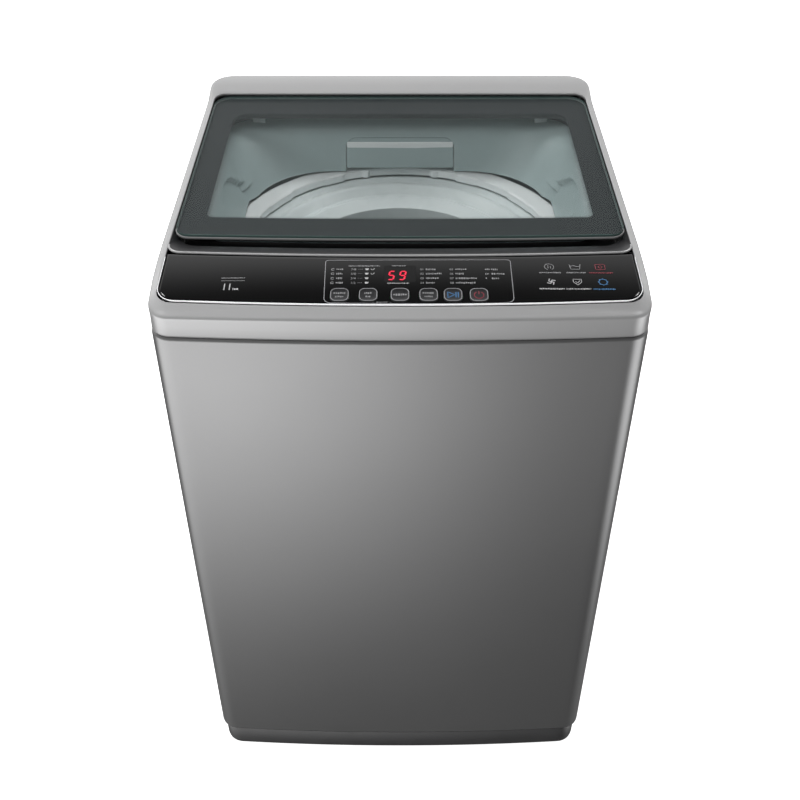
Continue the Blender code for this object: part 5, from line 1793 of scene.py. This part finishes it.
def build_water():
    """The inlet valve, the drain valve with its outlet and bellows, and the gland for the cord."""
    x, z = INLET_AT
    thread = [(0.0, -0.0460), (0.0118, -0.0460), (0.0118, -0.0100), (0.0128, -0.0090)]
    s = -0.0080
    while s < 0.0100:
        thread += [(0.0124, s), (0.0132, s + 0.0007)]
        s += 0.0014
    thread += [
        (0.0126, 0.0112),
        (0.0120, 0.0120),
        (0.0104, 0.0120),
        (0.0098, 0.0112),
        (0.0098, -0.0080),
        (0.0030, -0.0090),
        (0.0, -0.0090),
    ]
    spout = lying(turned(thread, 48, solid=True), (x, 0.3055, z), BACKWARDS)
    body = box_mesh((x - 0.021, 0.2560, 0.8680), (x + 0.021, 0.2860, 0.9085), 0.003, 3)
    coil = box_mesh((x - 0.064, 0.2590, 0.8720), (x - 0.0230, 0.2850, 0.9050), 0.004, 3)
    necks = [box_mesh((x - 0.026, 0.2660, 0.8800), (x - 0.018, 0.2780, 0.8980), 0.001, 1)]
    for k in range(3):
        spoke = box_mesh((-0.0095, -0.0009, -0.0075), (0.0095, 0.0009, -0.0060), 0.0003, 1)
        spoke.transform(Matrix.Rotation(math.radians(60 * k), 4, "Z"))
        necks.append(lying(spoke, (x, 0.3055, z), BACKWARDS))
    piece(
        "water_inlet", merged(spout, body, coil, *necks), "cabinet", WHITE, ["inlet_valve"],
    )

    dx, dy = DRAIN_AT
    rows = smooth_profile([
        (0.0, 0.1500), (0.0260, 0.1500), (0.0260, 0.2000), (0.0330, 0.2000), (0.0330, 0.2146), (0.0, 0.2146),
    ],
                          [0.003, 0.004, 0.003, 0.001], 4)
    piece(
        "drain_valve_body",
        turned(rows, 48, (dx, dy), solid=True),
        "tub",
        WHITE,
        ["drain_valve"],
    )
    z = DRAIN_Z
    pipe = [
        (0.0115, -0.1760),
        (0.0140, -0.1760),
        (0.0140, 0.0005),
        (0.0200, 0.0005),
        (0.0204, 0.0012),
        (0.0204, 0.0030),
        (0.0198, 0.0038),
        (0.0140, 0.0038),
    ]
    s = 0.0060
    while s < 0.0160:
        pipe += [(0.0134, s), (0.0140, s + 0.0012), (0.0140, s + 0.0020)]
        s += 0.0034
    pipe += [(0.0136, 0.0185), (0.0130, 0.0190), (0.0118, 0.0190), (0.0115, 0.0182)]
    outlet = lying(turned(pipe, 48), (dx, 0.2985, z), BACKWARDS)
    elbow = turned(
        [
            (0.0, z - 0.0140),
            (0.0130, z - 0.0130),
            (0.0175, z - 0.0060),
            (0.0175, z + 0.0170),
            (0.0115, z + 0.0170),
            (0.0115, z + 0.0020),
            (0.0, z),
        ],
        48,
        (dx, dy),
        solid=True,
    )
    piece("drain_outlet", merged(outlet, elbow), "cabinet", DARK, ["drain_pipe"], sharp=40)
    low, high = z + 0.0174, 0.1496
    rows = [(0.0125, low), (0.0172, low), (0.0175, low + 0.003)]
    waves = 7
    for k in range(waves):
        base = low + 0.005 + (high - low - 0.010) * k / waves
        step = (high - low - 0.010) / waves
        rows += [
            (0.0150, base + step * 0.1),
            (0.0150, base + step * 0.3),
            (0.0178, base + step * 0.6),
            (0.0178, base + step * 0.8),
        ]
    rows += [(0.0175, high - 0.003), (0.0172, high), (0.0125, high)]
    bellows = piece(
        "drain_gaiter", turned(rows, 40, (dx, dy)), "cabinet", RUBBER, ["drain_bellows"], sharp=60,
    )
    stretch(bellows, (dx, dy, low), (dx, dy, high))

    gland = [
        (0.0042, -0.0120),
        (0.0082, -0.0120),
        (0.0088, -0.0110),
        (0.0088, 0.0014),
        (0.0124, 0.0014),
        (0.0130, 0.0022),
        (0.0130, 0.0048),
        (0.0122, 0.0056),
    ]
    gland += [
        (0.0092, 0.0060),
        (0.0086, 0.0075),
        (0.0088, 0.0110),
        (0.0080, 0.0120),
        (0.0046, 0.0120),
        (0.0042, 0.0116),
    ]
    piece(
        "lead_gland",
        lying(turned(gland, 48), (GLAND_AT[0], 0.3020, GLAND_AT[1]), BACKWARDS),
        "cabinet",
        RUBBER,
        ["cord_gland"],
    )


CARRIED = {
    "board_tray": DARK,
    "control_board": BOARD,
    "drain_retractor": DARK,
    "hinge_pin_left": ZINC,
    "hinge_pin_right": ZINC,
    "inlet_hose": RUBBER,
    "level_sensor": WHITE,
    "pulsator_shaft": ZINC,
}


def finish_carried():
    """The CAD pieces that stay as they are get the scene's finishes and slightly eased edges."""
    for name, finish in CARRIED.items():
        obj = frame["nodes"][name]
        for entry in obj.material_slots:
            entry.material = finish
        bevel = obj.modifiers.new("eased", "BEVEL")
        bevel.width, bevel.segments, bevel.limit_method = 0.0004, 2, "ANGLE"


# ---------------------------------------------------------------- floor, light and camera
REAR_WALL, FRONT_WALL, AMBIENT = 0.72, 2.95, 0.19
CAMERA_AT, CAMERA_TILT, CAMERA_LENS = (0.0, -1.2945, 1.551), 51.35, 45.65


def build_stage():
    bm = bmesh.new()
    half = 14.0
    bm.faces.new(
        [bm.verts.new((x, y, 0.0)) for x, y in ((-half, -half), (half, -half), (half, half), (-half, half))]
    )
    mesh = bpy.data.meshes.new("floor")
    bm.to_mesh(mesh)
    bm.free()
    floor = bpy.data.objects.new("floor", mesh)
    bpy.context.scene.collection.objects.link(floor)
    n = Nodes("floor")
    fine = n.noise(30.0, 3.0)
    n.set(
        base_color=n.blend(fine, (0.90, 0.90, 0.90), (0.93, 0.93, 0.93)),
        roughness=0.9,
        emission_color=(1, 1, 1, 1),
        emission_strength=1.0,
    )
    mesh.materials.append(n.material)
    floor.visible_diffuse = False
    floor.visible_glossy = False


def build_world():
    """A soft studio: pale walls that dim towards the ceiling, the right side and the floor in front."""
    world = bpy.data.worlds.new("studio")
    bpy.context.scene.world = world
    world.use_nodes = True
    tree = world.node_tree
    background = tree.nodes["Background"]

    def node(kind, values, **settings):
        made = tree.nodes.new(kind)
        for key, value in settings.items():
            setattr(made, key, value)
        for key, value in values.items():
            if isinstance(value, bpy.types.NodeSocket):
                tree.links.new(value, made.inputs[key])
            else:
                made.inputs[key].default_value = value
        return made

    def span(value, a, b, c, d):
        return node(
            "ShaderNodeMapRange", {0: value, 1: a, 2: b, 3: c, 4: d}, interpolation_type="SMOOTHSTEP",
        ).outputs[0]

    def sums(operation, a, b):
        return node("ShaderNodeMath", {0: a, 1: b}, operation=operation).outputs[0]

    place = tree.nodes.new("ShaderNodeTexCoord").outputs["Generated"]
    parts = node("ShaderNodeSeparateXYZ", {0: place})
    x, y, z = parts.outputs
    rear_wall = sums(
        "MULTIPLY",
        span(y, -0.1, 0.5, 0.0, 1.0),
        sums("MULTIPLY", span(z, 0.655, 0.80, 1.0, 0.0), span(z, -0.3, 0.1, 0.0, 1.0)),
    )
    rear_wall = sums("MULTIPLY", rear_wall, span(x, -0.35, 0.35, 1.18, 0.80))
    ramp = node("ShaderNodeMapRange", {0: z, 1: -0.93, 2: -0.46, 3: 0.0, 4: 1.0}).outputs[0]
    ramp = sums("MULTIPLY", sums("POWER", ramp, 1.45), span(z, -0.42, -0.02, 1.0, 0.10))
    front_floor = sums("MULTIPLY", span(y, -0.2, 0.3, 1.0, 0.0), ramp)
    tilt = sums("ADD", span(x, -0.25, 0.31, 1.12, 0.08), span(x, 0.45, 0.80, 0.0, 1.0))
    front_floor = sums("MULTIPLY", front_floor, tilt)
    total = sums("ADD", sums("MULTIPLY", rear_wall, REAR_WALL), sums("MULTIPLY", front_floor, FRONT_WALL))
    dim = sums("MULTIPLY", span(z, 0.55, 0.85, 1.0, 0.4), span(y, -0.6, 0.0, 0.65, 1.0))
    total = sums("ADD", total, sums("MULTIPLY", dim, AMBIENT))
    tree.links.new(total, background.inputs["Strength"])
    background.inputs["Color"].default_value = (1.0, 1.0, 1.0, 1.0)


def add_light(name, place, target, size, power):
    """An area light at a place, aimed at a target."""
    light = bpy.data.lights.new(name, "AREA")
    light.shape = "RECTANGLE"
    light.size, light.size_y = size
    light.energy = power
    obj = bpy.data.objects.new(name, light)
    bpy.context.scene.collection.objects.link(obj)
    obj.location = place
    obj.rotation_euler = (Vector(target) - Vector(place)).to_track_quat("-Z", "Y").to_euler()
    return obj


def build_lights():
    for name, place, size, power in (
        ("soft_left", (-1.7, -1.0, 2.4), (1.2, 1.2), 22),
        ("soft_top", (0.0, 0.4, 2.6), (1.4, 1.0), 22),
        ("soft_front", (-0.2, -1.0, 2.7), (1.0, 0.8), 14),
    ):
        wide = add_light(name, place, (0.0, 0.0, 0.8), size, power)
        wide.visible_glossy = False
    add_light("glint_left", (-1.3, 0.42, 2.43), (0.2, 0.2, 0.87), (0.34, 0.34), 7)
    add_light("glint_right", (1.3, 0.42, 2.43), (-0.2, 0.2, 0.87), (0.34, 0.34), 7)
    camera = bpy.data.cameras.new("camera")
    camera.lens, camera.sensor_width = CAMERA_LENS, 36.0
    camera.clip_start = 0.05
    obj = bpy.data.objects.new("camera", camera)
    bpy.context.scene.collection.objects.link(obj)
    obj.location = CAMERA_AT
    obj.rotation_euler = (math.radians(CAMERA_TILT), 0.0, 0.0)
    bpy.context.scene.camera = obj
    bpy.context.scene.view_settings.view_transform = "Standard"


def main():
    random.seed(4)
    build_cabinet()
    build_rear_panel()
    build_base()
    build_feet()
    build_top_cover()
    build_gutter()
    build_collar()
    build_drawer()
    build_fascia()
    build_legends()
    build_controls()
    build_lid()
    build_tub()
    build_basket()
    build_pulsator()
    build_drive()
    build_suspension()
    build_water()
    finish_carried()
    build_stage()
    build_world()
    build_lights()


main()
